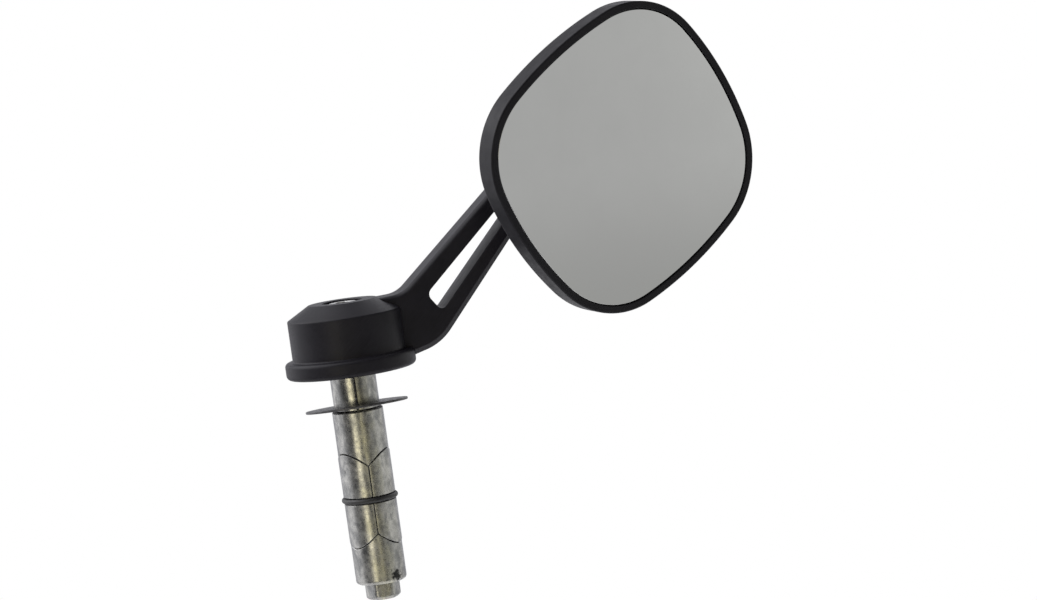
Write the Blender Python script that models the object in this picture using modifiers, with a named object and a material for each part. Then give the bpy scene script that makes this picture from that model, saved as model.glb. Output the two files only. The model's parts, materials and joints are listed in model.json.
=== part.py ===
"""Bar-end mirror: a slotted arm on an expanding handlebar plug, with a ball-jointed square head.

Frame: metres. The origin is the centre of the flange's underside, which seats on the end of the
handlebar. +Z runs along the plug's axis, out of the bar. +X is the way the arm reaches, and the
glass faces -Y, turned a little towards +X.
"""
import math

import bmesh
import bpy
from mathutils import Matrix, Vector
from mathutils.geometry import intersect_sphere_sphere_2d

MM = 0.001
GAP = 0.3 * MM                # clearance between pieces that touch
QUARTER_STEP = 1 - math.sqrt(0.5)     # how far a quarter round's middle point stands in

# Cap and flange, turned about Z
FLANGE_R = 22.3 * MM
FLANGE_H = 5.8 * MM
FLANGE_EDGE = 1.6 * MM
CAP_R = 19.5 * MM
CAP_WALL_TOP = 19.8 * MM
CAP_H = 24.3 * MM
CAP_TOP_R = 11.7 * MM
CAP_FILLET = 0.5 * MM         # where the cap's wall meets the flange
RECESS_EDGE = 0.3 * MM
RECESS_R = 6.9 * MM
RECESS_FLOOR = 16.5 * MM
BOLT_HOLE_R = 3.3 * MM
NECK_POCKET_R = 8.2 * MM
NECK_POCKET_H = 2.3 * MM

# Expanding plug
NECK_R = 7.85 * MM
NECK_BORE_R = 5.6 * MM
NECK_SLIT = 0.8 * MM
WEDGE_R = 8.75 * MM
WEDGE_TOP = -13.0 * MM
WEDGE_CHAMFER = 0.5 * MM
PULLER_ROUND = 1.2 * MM       # rounding of the lower wedge's foot
SEAM_UPPER = -31.7 * MM       # lowest point of the upper joint, seen on the outside
SEAM_LOWER = -55.5 * MM       # highest point of the lower joint
LOWER_END = -73.0 * MM
RAMP = 1.1                    # rise of a wedge face for each metre outwards
SEGMENT_R = 8.95 * MM
SEGMENT_BORE_R = 4.4 * MM
SEGMENT_COUNT = 3
SEGMENT_BLANK = 8.0 * MM      # how far the turned blank runs past each seam before it is cut
SEAM_AZIMUTH = math.radians(-94.3)
NECK_SLIT_AZIMUTH = math.radians(-99.3)
GROOVE_Z = -43.7 * MM
GROOVE_R = 6.9 * MM
GROOVE_W = 2.4 * MM
O_RING_R = 8.8 * MM           # to the middle of the cord
O_RING_CORD_R = 0.9 * MM

# Draw bolt, an M6 socket screw, with its washer and nut
BOLT_R = 3.0 * MM
BOLT_HEAD_R = 5.0 * MM
BOLT_HEAD_TOP = 23.9 * MM
BOLT_HEAD_H = 5.8 * MM
BOLT_END = -77.6 * MM
HEX_KEY_AF = 5.0 * MM
HEX_KEY_DEPTH = 3.2 * MM
BOLT_WASHER_R = 6.1 * MM
BOLT_WASHER_T = 1.0 * MM
NUT_AF = 11.0 * MM
NUT_END = -78.8 * MM
NUT_SPIGOT_R = 4.3 * MM
NUT_SPIGOT_H = 7.0 * MM
NUT_ROUND = ((7.0, 1.9), (6.2, 0.8), (5.0, 0.0))     # radius and height of its worn end, in mm
TURNED_EDGE = 0.5 * MM        # chamfer on the bolt's and the stud's ends

# Loose washer that lies between the bar's end and the flange
END_WASHER_R = 17.6 * MM
END_WASHER_T = 0.8 * MM
END_WASHER_PLAY = 0.35 * MM
END_WASHER_Z = -11.8 * MM
END_WASHER_LEAN = math.radians(4.5)

# Arm: a plate in the XZ plane, centred on y = 0
ARM_T = 12.6 * MM
ARM_EDGE = 1.9 * MM           # chamfer along the lower outline
ARM_UPPER_EDGE = 0.7 * MM     # chamfer along the upper outline
BALL = Vector((93.3, -19.0, 60.8)) * MM
ARM_CORNERS = (               # x, z, corner radius in millimetres, clockwise from the cap's top
    (10.0, 23.7, 0.0),
    (20.0, 24.1, 10.0),
    (72.2, 68.3, 26.0),
    (102.3, 69.8, 8.5),
    (102.3, 51.8, 8.5),
    (73.7, 51.8, 22.0),
    (31.5, 5.1, 35.0),
    (20.3, 2.3, 0.0),
    (10.0, 3.0, 0.0),
)
SLOT_CORNERS = (
    (28.3, 22.6, 2.6),
    (64.0, 54.3, 1.5),
    (67.0, 51.9, 1.5),
    (32.9, 16.0, 1.9),
)

# Ball joint. Distances along the head's axis are measured from the ball's centre to the glass.
BALL_R = 6.0 * MM
NECK_ROD_R = 2.25 * MM
NECK_ROOT_R = 3.1 * MM        # where the ball's neck flares into the collar
COLLAR_AF = 11.0 * MM
COLLAR_T = 2.8 * MM
STUD_R = 3.0 * MM
STUD_END = 13.6 * MM
STUD_WASHER_R = 6.2 * MM
STUD_WASHER_T = 1.0 * MM
STUD_NUT_AF = 10.0 * MM
STUD_NUT_T = 4.8 * MM
LINER_IN_R = 6.25 * MM
LINER_OUT_R = 7.05 * MM
LINER_REAR = (math.radians(50.0), math.radians(78.0))      # polar angles from the stud's side
LINER_FRONT = (math.radians(104.0), math.radians(160.0))
CAVITY_R = 7.3 * MM
CAVITY_MOUTH = math.radians(57.0)
SOCKET_R = 8.6 * MM
SOCKET_FRONT = 9.0 * MM
SOCKET_NOSE = 2.0 * MM        # chamfer round the cup's closed end
SOCKET_FLANGE_R = 15.4 * MM
SOCKET_FLANGE = (7.1 * MM, 8.9 * MM)
RING_R = 9.9 * MM
RING_BACK = -4.6 * MM
RING_MOUTH_R = 7.1 * MM
RING_EDGE = 1.2 * MM
RING_FLANGE = (2.5 * MM, 4.5 * MM)
SCREW_CIRCLE_R = 12.7 * MM
SCREW_R = 1.1 * MM
SCREW_HEAD_R = 2.15 * MM
SCREW_HEAD_H = 1.6 * MM
SCREW_EDGE = 0.35 * MM
SCREW_KEY_AF = 1.5 * MM
SCREW_KEY_DEPTH = 0.9 * MM
SCREW_COUNT = 3

# Head: a square with bulging sides and round corners, standing on one corner
HEAD_AXIS = Vector((0.2731, -0.9568, -0.0996)).normalized()
HEAD_LONG = Vector((0.8351, 0.1844, 0.5183))
GLASS_A = 45.85 * MM          # half size along HEAD_LONG
GLASS_B = 44.0 * MM           # half size across it
END_BULGE_R = 105.0 * MM      # radius of the two bulging ends
SIDE_BULGE_R = 131.0 * MM     # radius of the two bulging sides
CORNER_R = 27.5 * MM
GLASS_TAPER = 0.0209          # the long size grows towards the upper left side
GLASS_FRONT = 14.0 * MM
GLASS_T = 2.0 * MM
PAD_T = 0.8 * MM
PAD_INSET = 1.5 * MM
CARRIER_T = 1.0 * MM
CARRIER_INSET = 0.4 * MM
LIP_FRONT = 14.6 * MM
LIP_W = 2.8 * MM
RIM_T = 9.2 * MM
RIM_FRONT_ROUND = 0.7 * MM
RIM_BACK_ROUND = 1.6 * MM
LEDGE_W = 4.5 * MM
FLOOR_T = 2.0 * MM
HUB_R = 16.6 * MM
HUB_RISE = 0.6 * MM
HUB_SINK = 0.6 * MM
HUB_WALL = 0.9 * MM
SOCKET_HOLE_R = 9.0 * MM
BULGE_STEPS = 4               # steps along half a side of the glass
CORNER_STEPS = 8

OBJECT_NAME = "bar_end_mirror"


def reset_scene():
    for obj in list(bpy.data.objects):
        bpy.data.objects.remove(obj, do_unlink=True)


def new_collection(name):
    collection = bpy.data.collections.new(name)
    bpy.context.scene.collection.children.link(collection)
    return collection


def make_material(name, colour, roughness, metallic):
    material = bpy.data.materials.new(name)
    material.use_nodes = True
    shader = material.node_tree.nodes["Principled BSDF"]
    shader.inputs["Base Color"].default_value = (*colour, 1.0)
    shader.inputs["Roughness"].default_value = roughness
    shader.inputs["Metallic"].default_value = metallic
    return material


def add_mesh_object(name, mesh, collection, material=None):
    obj = bpy.data.objects.new(name, mesh)
    collection.objects.link(obj)
    if material:
        mesh.materials.append(material)
    return obj


def mark_cutter(obj):
    obj.hide_render = True
    obj.display_type = "WIRE"


def turned(name, profile, collection, material=None, steps=48, closed=True):
    """Turn a profile of (radius, height) points about Z; it runs down the outer side."""
    mesh = bpy.data.meshes.new(name)
    edges = [(i, i + 1) for i in range(len(profile) - 1)]
    if closed:
        edges.append((len(profile) - 1, 0))
    mesh.from_pydata([(r, 0.0, z) for r, z in profile], edges, [])
    obj = add_mesh_object(name, mesh, collection, material)
    screw = obj.modifiers.new("turn", "SCREW")
    screw.axis = "Z"
    screw.angle = 2 * math.pi
    screw.steps = steps
    screw.render_steps = steps
    screw.use_merge_vertices = True
    screw.merge_threshold = 0.00001
    screw.use_smooth_shade = True
    return obj


def arc(centre, radius, start, end, steps):
    """Points on an arc; angles are in degrees."""
    points = []
    for i in range(steps + 1):
        angle = math.radians(start + (end - start) * i / steps)
        points.append((centre[0] + radius * math.cos(angle), centre[1] + radius * math.sin(angle)))
    return points


def rounded_outline(corners, scale=MM, degrees_per_step=8.0):
    """A closed outline through (x, y, radius) corners, with each corner replaced by its arc."""
    points = []
    count = len(corners)
    for i, (x, y, radius) in enumerate(corners):
        here = Vector((x, y))
        before = Vector(corners[i - 1][:2]) - here
        after = Vector(corners[(i + 1) % count][:2]) - here
        if radius == 0.0:
            points.append(here * scale)
            continue
        half = before.angle(after) / 2
        reach = radius / math.tan(half)
        centre = here + (before.normalized() + after.normalized()).normalized() * radius / math.sin(half)
        first = here + before.normalized() * reach - centre
        turn = first.angle_signed(here + after.normalized() * reach - centre)
        steps = max(2, round(math.degrees(abs(turn)) / degrees_per_step))
        for k in range(steps + 1):
            spoke = first.copy()
            spoke.rotate(Matrix.Rotation(-turn * k / steps, 2))
            points.append((centre + spoke) * scale)
    return points


def arc_points(centre, radius, start, end, steps):
    """Points on an arc between two angles, without the last one."""
    angles = [start + (end - start) * i / steps for i in range(steps)]
    return [centre + Vector((math.cos(a), math.sin(a))) * radius for a in angles]


def quarter_outline():
    """The glass outline's first quarter: half an end, a corner and half a side, as three arcs."""
    end_centre = Vector((GLASS_A - END_BULGE_R, 0.0))
    side_centre = Vector((0.0, GLASS_B - SIDE_BULGE_R))
    meets = intersect_sphere_sphere_2d(
        end_centre, END_BULGE_R - CORNER_R, side_centre, SIDE_BULGE_R - CORNER_R)
    corner = max(meets, key=lambda point: point.x + point.y)
    to_end = corner - end_centre
    to_side = corner - side_centre
    first = math.atan2(to_end.y, to_end.x)
    last = math.atan2(to_side.y, to_side.x)
    points = arc_points(end_centre, END_BULGE_R, 0.0, first, BULGE_STEPS)
    points += arc_points(corner, CORNER_R, first, last, CORNER_STEPS)
    points += arc_points(side_centre, SIDE_BULGE_R, last, math.pi / 2, BULGE_STEPS)
    return points + [Vector((0.0, GLASS_B))]


def glass_outline(offset):
    """The glass outline grown by an offset, as (along, across) points, anticlockwise."""
    quarter = quarter_outline()
    upper = quarter[:-1] + [Vector((-p.x, p.y)) for p in reversed(quarter)]
    whole = upper[:-1] + [Vector((p.x, -p.y)) for p in reversed(upper)][:-1]
    points = [Vector((p.x / (1 - GLASS_TAPER * p.y / GLASS_B), p.y)) for p in whole]
    count = len(points)
    grown = []
    for i, point in enumerate(points):
        tangent = points[(i + 1) % count] - points[i - 1]
        normal = Vector((tangent.y, -tangent.x)).normalized()
        grown.append(point + normal * offset)
    return grown


def stacked(name, rings, collection, material=None):
    """A closed solid through rings of (outline points, height), from the first ring to the last."""
    bm = bmesh.new()
    loops = []
    for outline, height in rings:
        loops.append([bm.verts.new((p.x, p.y, height)) for p in outline])
    count = len(loops[0])
    for low, high in zip(loops, loops[1:]):
        for i in range(count):
            j = (i + 1) % count
            bm.faces.new((low[i], low[j], high[j], high[i]))
    bm.faces.new(list(reversed(loops[0])))
    bm.faces.new(loops[-1])
    mesh = bpy.data.meshes.new(name)
    bm.to_mesh(mesh)
    bm.free()
    return add_mesh_object(name, mesh, collection, material)


def plate(name, outline, thickness, collection, material=None):
    """A flat outline in the XZ plane, centred on y = 0."""
    bm = bmesh.new()
    verts = [bm.verts.new((p.x, -thickness / 2, p.y)) for p in outline]
    face = bm.faces.new(verts)
    back = bmesh.ops.extrude_face_region(bm, geom=[face])
    moved = [item for item in back["geom"] if isinstance(item, bmesh.types.BMVert)]
    bmesh.ops.translate(bm, verts=moved, vec=(0.0, thickness, 0.0))
    bmesh.ops.recalc_face_normals(bm, faces=bm.faces)
    mesh = bpy.data.meshes.new(name)
    bm.to_mesh(mesh)
    bm.free()
    return add_mesh_object(name, mesh, collection, material)


def cylinder(name, radius, start, end, collection, material=None, steps=32):
    """A round bar about Z, from height start to height end."""
    bm = bmesh.new()
    bmesh.ops.create_cone(
        bm, cap_ends=True, segments=steps, radius1=radius, radius2=radius, depth=end - start,
        matrix=Matrix.Translation((0.0, 0.0, (start + end) / 2)))
    mesh = bpy.data.meshes.new(name)
    bm.to_mesh(mesh)
    bm.free()
    return add_mesh_object(name, mesh, collection, material)


def hexagon(name, across_flats, start, end, collection, material=None):
    return cylinder(name, across_flats / math.sqrt(3), start, end, collection, material, 6)


def box(name, low, high, collection):
    bm = bmesh.new()
    size = Vector(high) - Vector(low)
    middle = (Vector(high) + Vector(low)) / 2
    bmesh.ops.create_cube(
        bm, size=1.0, matrix=Matrix.Translation(middle) @ Matrix.Diagonal((*size, 1.0)))
    mesh = bpy.data.meshes.new(name)
    bm.to_mesh(mesh)
    bm.free()
    return add_mesh_object(name, mesh, collection)


def boolean(obj, other, operation, cutters):
    modifier = obj.modifiers.new(other.name, "BOOLEAN")
    modifier.operation = operation
    modifier.solver = "EXACT"
    modifier.object = other
    if other.name not in cutters.objects:
        for owner in list(other.users_collection):
            owner.objects.unlink(other)
        cutters.objects.link(other)
    mark_cutter(other)


def place_on(obj, frame):
    obj.matrix_world = frame
    return obj


def head_frame():
    """Local X along the glass, Y across it, Z along the head's axis, from the ball's centre."""
    z_axis = HEAD_AXIS
    x_axis = (HEAD_LONG - z_axis * HEAD_LONG.dot(z_axis)).normalized()
    y_axis = z_axis.cross(x_axis)
    frame = Matrix((x_axis, y_axis, z_axis)).transposed().to_4x4()
    frame.translation = BALL
    return frame


def stud_frame():
    """Local Z along the stud, from the ball's centre towards the arm and out of its back."""
    frame = Matrix.Rotation(math.radians(-90.0), 4, "X")
    frame.translation = BALL
    return frame


# Plug ------------------------------------------------------------------------------------

def seam_directions():
    return [SEAM_AZIMUTH + 2 * math.pi * i / SEGMENT_COUNT for i in range(SEGMENT_COUNT)]


def segment_directions():
    return [angle + math.pi / SEGMENT_COUNT for angle in seam_directions()]


def pyramid(name, apex_z, sign, collection, steps=SEGMENT_COUNT):
    """The space beyond three wedge faces that meet at an apex on the axis.

    sign -1 points down, with the space above it; sign +1 points up, with the space below it.
    """
    reach = 40 * MM
    bm = bmesh.new()
    base_r = reach / math.cos(math.pi / steps)
    ring = []
    for angle in seam_directions():
        ring.append(bm.verts.new((
            base_r * math.cos(angle), base_r * math.sin(angle), apex_z - sign * RAMP * reach)))
    apex = bm.verts.new((0.0, 0.0, apex_z))
    for i in range(steps):
        bm.faces.new((ring[i], ring[(i + 1) % steps], apex))
    bm.faces.new(ring)
    bmesh.ops.recalc_face_normals(bm, faces=bm.faces)
    mesh = bpy.data.meshes.new(name)
    bm.to_mesh(mesh)
    bm.free()
    return add_mesh_object(name, mesh, collection)


def upper_apex_height():
    """Height of the upper wedge's apex, from where its seam shows on the outside."""
    return SEAM_UPPER - RAMP * WEDGE_R / 2


def lower_apex_height():
    return SEAM_LOWER + RAMP * WEDGE_R / 2


def make_neck(collection, cutters, material):
    top = NECK_POCKET_H - GAP
    bottom = WEDGE_TOP + GAP
    neck = turned("neck_sleeve", [
        (NECK_BORE_R, top), (NECK_R, top), (NECK_R, bottom), (NECK_BORE_R, bottom),
    ], collection, material)
    slit = box("neck_slit", (NECK_BORE_R / 2, -NECK_SLIT / 2, bottom - MM),
               (NECK_R + MM, NECK_SLIT / 2, top + MM), cutters)
    slit.rotation_euler.z = NECK_SLIT_AZIMUTH
    boolean(neck, slit, "DIFFERENCE", cutters)
    return neck


def make_upper_wedge(collection, cutters, material):
    upper_apex = upper_apex_height()
    foot = upper_apex - MM
    wedge = turned("upper_wedge", [
        (BOLT_HOLE_R, WEDGE_TOP), (WEDGE_R - WEDGE_CHAMFER, WEDGE_TOP),
        (WEDGE_R, WEDGE_TOP - WEDGE_CHAMFER), (WEDGE_R, foot), (BOLT_HOLE_R, foot),
    ], collection, material)
    space = pyramid("upper_wedge_space", upper_apex, -1, cutters)
    boolean(wedge, space, "INTERSECT", cutters)
    return wedge


def make_lower_wedge(collection, cutters, material):
    lower_apex = lower_apex_height()
    round_step = PULLER_ROUND * QUARTER_STEP
    head = lower_apex + MM
    pocket_top = LOWER_END + NUT_SPIGOT_H + GAP
    pocket_r = NUT_SPIGOT_R + GAP
    wedge = turned("lower_wedge", [
        (BOLT_HOLE_R, head), (WEDGE_R, head), (WEDGE_R, LOWER_END + PULLER_ROUND),
        (WEDGE_R - round_step, LOWER_END + round_step), (WEDGE_R - PULLER_ROUND, LOWER_END),
        (pocket_r, LOWER_END), (pocket_r, pocket_top), (BOLT_HOLE_R, pocket_top),
    ], collection, material)
    space = pyramid("lower_wedge_space", lower_apex, 1, cutters)
    boolean(wedge, space, "INTERSECT", cutters)
    return wedge


def segment_sector(name, angle, collection):
    """The prism that one segment fills, between the two seams beside it."""
    bm = bmesh.new()
    half = math.pi / SEGMENT_COUNT
    reach = 30 * MM
    seam = GAP / 2 / math.sin(half)
    tip = Vector((math.cos(angle), math.sin(angle))) * seam
    corners = [tip]
    for turn in (-half, 0.0, half):
        arm = Vector((math.cos(angle + turn), math.sin(angle + turn))) * reach
        corners.append(tip + arm)
    low = [bm.verts.new((p.x, p.y, LOWER_END)) for p in corners]
    high = [bm.verts.new((p.x, p.y, WEDGE_TOP)) for p in corners]
    count = len(corners)
    for i in range(count):
        j = (i + 1) % count
        bm.faces.new((low[i], low[j], high[j], high[i]))
    bm.faces.new(list(reversed(low)))
    bm.faces.new(high)
    mesh = bpy.data.meshes.new(name)
    bm.to_mesh(mesh)
    bm.free()
    return add_mesh_object(name, mesh, collection)


def make_segments(collection, cutters, material):
    face_gap = GAP * math.hypot(1.0, RAMP)
    above = pyramid("segment_upper_cut", upper_apex_height() - face_gap, -1, cutters)
    below = pyramid("segment_lower_cut", lower_apex_height() + face_gap, 1, cutters)
    half_groove = GROOVE_W / 2
    top, bottom = SEAM_UPPER + SEGMENT_BLANK, SEAM_LOWER - SEGMENT_BLANK
    segments = []
    for i, angle in enumerate(segment_directions()):
        segment = turned(f"plug_segment_{i + 1}", [
            (SEGMENT_BORE_R, top), (SEGMENT_R, top),
            (SEGMENT_R, GROOVE_Z + half_groove), (GROOVE_R, GROOVE_Z + half_groove),
            (GROOVE_R, GROOVE_Z - half_groove), (SEGMENT_R, GROOVE_Z - half_groove),
            (SEGMENT_R, bottom), (SEGMENT_BORE_R, bottom),
        ], collection, material)
        sector = segment_sector(f"segment_sector_{i + 1}", angle, cutters)
        boolean(segment, sector, "INTERSECT", cutters)
        boolean(segment, above, "DIFFERENCE", cutters)
        boolean(segment, below, "DIFFERENCE", cutters)
        segments.append(segment)
    return segments


def make_o_ring(collection, material):
    bpy.ops.mesh.primitive_torus_add(
        major_radius=O_RING_R, minor_radius=O_RING_CORD_R, major_segments=32, minor_segments=8,
        location=(0.0, 0.0, GROOVE_Z))
    ring = bpy.context.object
    ring.name = "o_ring"
    ring.data.materials.append(material)
    for owner in list(ring.users_collection):
        owner.objects.unlink(ring)
    collection.objects.link(ring)
    ring.data.shade_smooth()
    return ring


def make_end_washer(collection, material):
    half = END_WASHER_T / 2
    bore = NECK_R + END_WASHER_PLAY
    washer = turned("end_washer", [
        (bore, half), (END_WASHER_R, half), (END_WASHER_R, -half), (bore, -half),
    ], collection, material)
    washer.location.z = END_WASHER_Z
    washer.rotation_euler.x = -END_WASHER_LEAN
    return washer


def make_draw_bolt(collection, cutters, material):
    head_bottom = BOLT_HEAD_TOP - BOLT_HEAD_H
    bolt = turned("draw_bolt", [
        (0.0, BOLT_HEAD_TOP), (BOLT_HEAD_R - TURNED_EDGE, BOLT_HEAD_TOP),
        (BOLT_HEAD_R, BOLT_HEAD_TOP - TURNED_EDGE), (BOLT_HEAD_R, head_bottom),
        (BOLT_R, head_bottom), (BOLT_R, BOLT_END + TURNED_EDGE),
        (BOLT_R - TURNED_EDGE, BOLT_END), (0.0, BOLT_END),
    ], collection, material, 32, closed=False)
    key = hexagon("hex_key_socket", HEX_KEY_AF, BOLT_HEAD_TOP - HEX_KEY_DEPTH,
                  BOLT_HEAD_TOP + MM, cutters)
    boolean(bolt, key, "DIFFERENCE", cutters)
    return bolt


def make_bolt_washer(collection, material):
    bottom = RECESS_FLOOR + GAP
    top = bottom + BOLT_WASHER_T
    return turned("bolt_washer", [
        (BOLT_HOLE_R, top), (BOLT_WASHER_R, top), (BOLT_WASHER_R, bottom), (BOLT_HOLE_R, bottom),
    ], collection, material, 32)


def make_draw_nut(collection, cutters, material):
    shoulder = LOWER_END - GAP
    nut = hexagon("draw_nut", NUT_AF, NUT_END, shoulder, collection, material)
    nut.rotation_euler.z = SEAM_AZIMUTH + math.radians(30.0)
    widest = NUT_ROUND[0][0] * MM
    profile = [(0.0, shoulder + MM), (widest, shoulder + MM)]
    profile += [(radius * MM, NUT_END + height * MM) for radius, height in NUT_ROUND]
    profile += [(0.0, NUT_END)]
    rounding = turned("nut_rounding", profile, cutters, None, 32, closed=False)
    boolean(nut, rounding, "INTERSECT", cutters)
    spigot = cylinder("nut_spigot", NUT_SPIGOT_R, shoulder - MM, LOWER_END + NUT_SPIGOT_H, cutters)
    boolean(nut, spigot, "UNION", cutters)
    bore = cylinder("nut_bore", BOLT_HOLE_R, NUT_END - MM, LOWER_END + NUT_SPIGOT_H + MM, cutters)
    boolean(nut, bore, "DIFFERENCE", cutters)
    return nut


# Arm -------------------------------------------------------------------------------------

def arm_edge_widths(outline):
    """Chamfer width at each outline point: wide below the arm's middle line, narrow above it."""
    root = Vector((ARM_CORNERS[0][0], FLANGE_H / MM / 2)) * MM
    along = Vector((BALL.x, BALL.z)) - root
    return [ARM_UPPER_EDGE if (p - root).cross(along) < 0.0 else ARM_EDGE for p in outline]


def inward_normals(outline):
    """Unit normals towards the inside of a clockwise outline."""
    count = len(outline)
    normals = []
    for i in range(count):
        tangent = (outline[(i + 1) % count] - outline[i - 1]).normalized()
        normals.append(Vector((tangent.y, -tangent.x)))
    return normals


def chamfered_plate(name, outline, widths, thickness, collection):
    """A plate in the XZ plane whose outline is chamfered on both faces."""
    half = thickness / 2
    insets = [p + n * w for p, n, w in zip(outline, inward_normals(outline), widths)]
    rings = [
        [(p.x, -half, p.y) for p in insets],
        [(p.x, w - half, p.y) for p, w in zip(outline, widths)],
        [(p.x, half - w, p.y) for p, w in zip(outline, widths)],
        [(p.x, half, p.y) for p in insets],
    ]
    bm = bmesh.new()
    loops = [[bm.verts.new(point) for point in ring] for ring in rings]
    count = len(outline)
    for front, rear in zip(loops, loops[1:]):
        for i in range(count):
            j = (i + 1) % count
            bm.faces.new((front[i], front[j], rear[j], rear[i]))
    bm.faces.new(loops[0])
    bm.faces.new(loops[-1])
    bmesh.ops.recalc_face_normals(bm, faces=bm.faces)
    mesh = bpy.data.meshes.new(name)
    bm.to_mesh(mesh)
    bm.free()
    return add_mesh_object(name, mesh, collection)


def make_arm(collection, cutters, material):
    step = FLANGE_EDGE * QUARTER_STEP
    arm = turned("arm_body", [
        (BOLT_HOLE_R, RECESS_FLOOR), (RECESS_R, RECESS_FLOOR), (RECESS_R, CAP_H - RECESS_EDGE),
        (RECESS_R + RECESS_EDGE, CAP_H), (CAP_TOP_R, CAP_H), (CAP_R, CAP_WALL_TOP),
        (CAP_R, FLANGE_H + CAP_FILLET), (CAP_R + CAP_FILLET, FLANGE_H),
        (FLANGE_R - FLANGE_EDGE, FLANGE_H), (FLANGE_R - step, FLANGE_H - step),
        (FLANGE_R, FLANGE_H - FLANGE_EDGE),
        (FLANGE_R, FLANGE_EDGE), (FLANGE_R - step, step), (FLANGE_R - FLANGE_EDGE, 0.0),
        (NECK_POCKET_R, 0.0), (NECK_POCKET_R, NECK_POCKET_H), (BOLT_HOLE_R, NECK_POCKET_H),
    ], collection, material, 56)
    outline = rounded_outline(ARM_CORNERS)
    reach = chamfered_plate("arm_plate", outline, arm_edge_widths(outline), ARM_T, cutters)
    slot = plate("arm_slot", rounded_outline(SLOT_CORNERS, degrees_per_step=15.0), ARM_T + 2 * MM, cutters)
    boolean(reach, slot, "DIFFERENCE", cutters)
    hole = cylinder("stud_hole", STUD_R + GAP, -ARM_T, ARM_T, cutters, None, 24)
    hole.rotation_euler.x = math.radians(90.0)
    hole.location = (BALL.x, 0.0, BALL.z)
    boolean(reach, hole, "DIFFERENCE", cutters)
    boolean(arm, reach, "UNION", cutters)
    return arm


# Ball joint ------------------------------------------------------------------------------

def make_ball_stud(collection, cutters, material):
    """Turned about the stud's own axis: the ball at the origin, the thread along +Z."""
    face = -BALL.y - ARM_T / 2
    collar_top = face - GAP
    neck_start = math.degrees(math.acos(NECK_ROD_R / BALL_R))
    collar_foot = collar_top - COLLAR_T
    end = STUD_END - BALL.y
    profile = [(0.0, end), (STUD_R - TURNED_EDGE, end), (STUD_R, end - TURNED_EDGE)]
    profile += [(STUD_R, collar_top - MM), (NECK_ROOT_R, collar_foot), (NECK_ROD_R, collar_foot - MM)]
    profile += arc((0.0, 0.0), BALL_R, neck_start, -90.0, 10)
    profile[-1] = (0.0, -BALL_R)
    stud = turned("ball_stud", profile, collection, material, 24, closed=False)
    collar = hexagon("stud_collar", COLLAR_AF, collar_foot, collar_top, cutters)
    place_on(collar, stud_frame())
    place_on(stud, stud_frame())
    boolean(stud, collar, "UNION", cutters)
    return stud


def make_stud_washer(collection, material):
    bottom = -BALL.y + ARM_T / 2 + GAP
    top = bottom + STUD_WASHER_T
    bore = STUD_R + GAP
    washer = turned("stud_washer", [
        (bore, top), (STUD_WASHER_R, top), (STUD_WASHER_R, bottom), (bore, bottom),
    ], collection, material, 32)
    return place_on(washer, stud_frame())


def make_stud_nut(collection, cutters, material):
    bottom = -BALL.y + ARM_T / 2 + STUD_WASHER_T + 2 * GAP
    nut = hexagon("stud_nut", STUD_NUT_AF, bottom, bottom + STUD_NUT_T, collection, material)
    bore = cylinder("stud_nut_bore", STUD_R + GAP, bottom - MM, bottom + STUD_NUT_T + MM, cutters, None, 24)
    place_on(bore, stud_frame())
    place_on(nut, stud_frame())
    boolean(nut, bore, "DIFFERENCE", cutters)
    return nut


def liner_profile(angles):
    """A band between two spheres; angles are measured from the stud's side, local -Z."""
    start, end = (math.degrees(a) - 90.0 for a in angles)
    outer = arc((0.0, 0.0), LINER_OUT_R, end, start, 4)
    inner = arc((0.0, 0.0), LINER_IN_R, start, end, 4)
    return outer + inner


def make_liner(name, angles, collection, material):
    liner = turned(name, liner_profile(angles), collection, material, 24)
    return place_on(liner, head_frame())


def make_socket_base(collection, cutters, material):
    """Front half of the socket. It drops through the housing's back and bolts to the ring."""
    half_gap = GAP / 2
    cavity_start = math.degrees(math.asin(half_gap / CAVITY_R))
    flange_low, flange_high = SOCKET_FLANGE
    profile = [(0.0, SOCKET_FRONT), (SOCKET_R - SOCKET_NOSE, SOCKET_FRONT), (SOCKET_R, flange_high)]
    profile += [(SOCKET_FLANGE_R, flange_high), (SOCKET_FLANGE_R, flange_low)]
    profile += [(SOCKET_R, flange_low), (SOCKET_R, half_gap)]
    profile += arc((0.0, 0.0), CAVITY_R, cavity_start, 90.0, 6)
    profile[-1] = (0.0, CAVITY_R)
    base = turned("socket_base", profile, collection, material, 32, closed=False)
    place_on(base, head_frame())
    cut_screw_holes(base, "base_screw_hole", cutters)
    return base


def make_socket_ring(collection, cutters, material):
    """Rear half of the socket: it holds the liner and the ball from behind."""
    half_gap = GAP / 2
    mouth = 90.0 - math.degrees(CAVITY_MOUTH)
    cavity_start = -math.degrees(math.asin(half_gap / CAVITY_R))
    flange_low, flange_high = RING_FLANGE
    clearance_r = SOCKET_R + GAP
    profile = [(clearance_r, flange_high), (SOCKET_FLANGE_R, flange_high)]
    profile += [(SOCKET_FLANGE_R, flange_low), (RING_R, flange_low), (RING_R, RING_BACK + RING_EDGE)]
    profile += [(RING_R - RING_EDGE, RING_BACK), (RING_MOUTH_R, RING_BACK)]
    profile += arc((0.0, 0.0), CAVITY_R, -mouth, cavity_start, 5)
    profile += [(clearance_r, -half_gap)]
    ring = turned("socket_ring", profile, collection, material, 32)
    place_on(ring, head_frame())
    cut_screw_holes(ring, "ring_screw_hole", cutters)
    return ring


def screw_places():
    return [2 * math.pi * i / SCREW_COUNT for i in range(SCREW_COUNT)]


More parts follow.
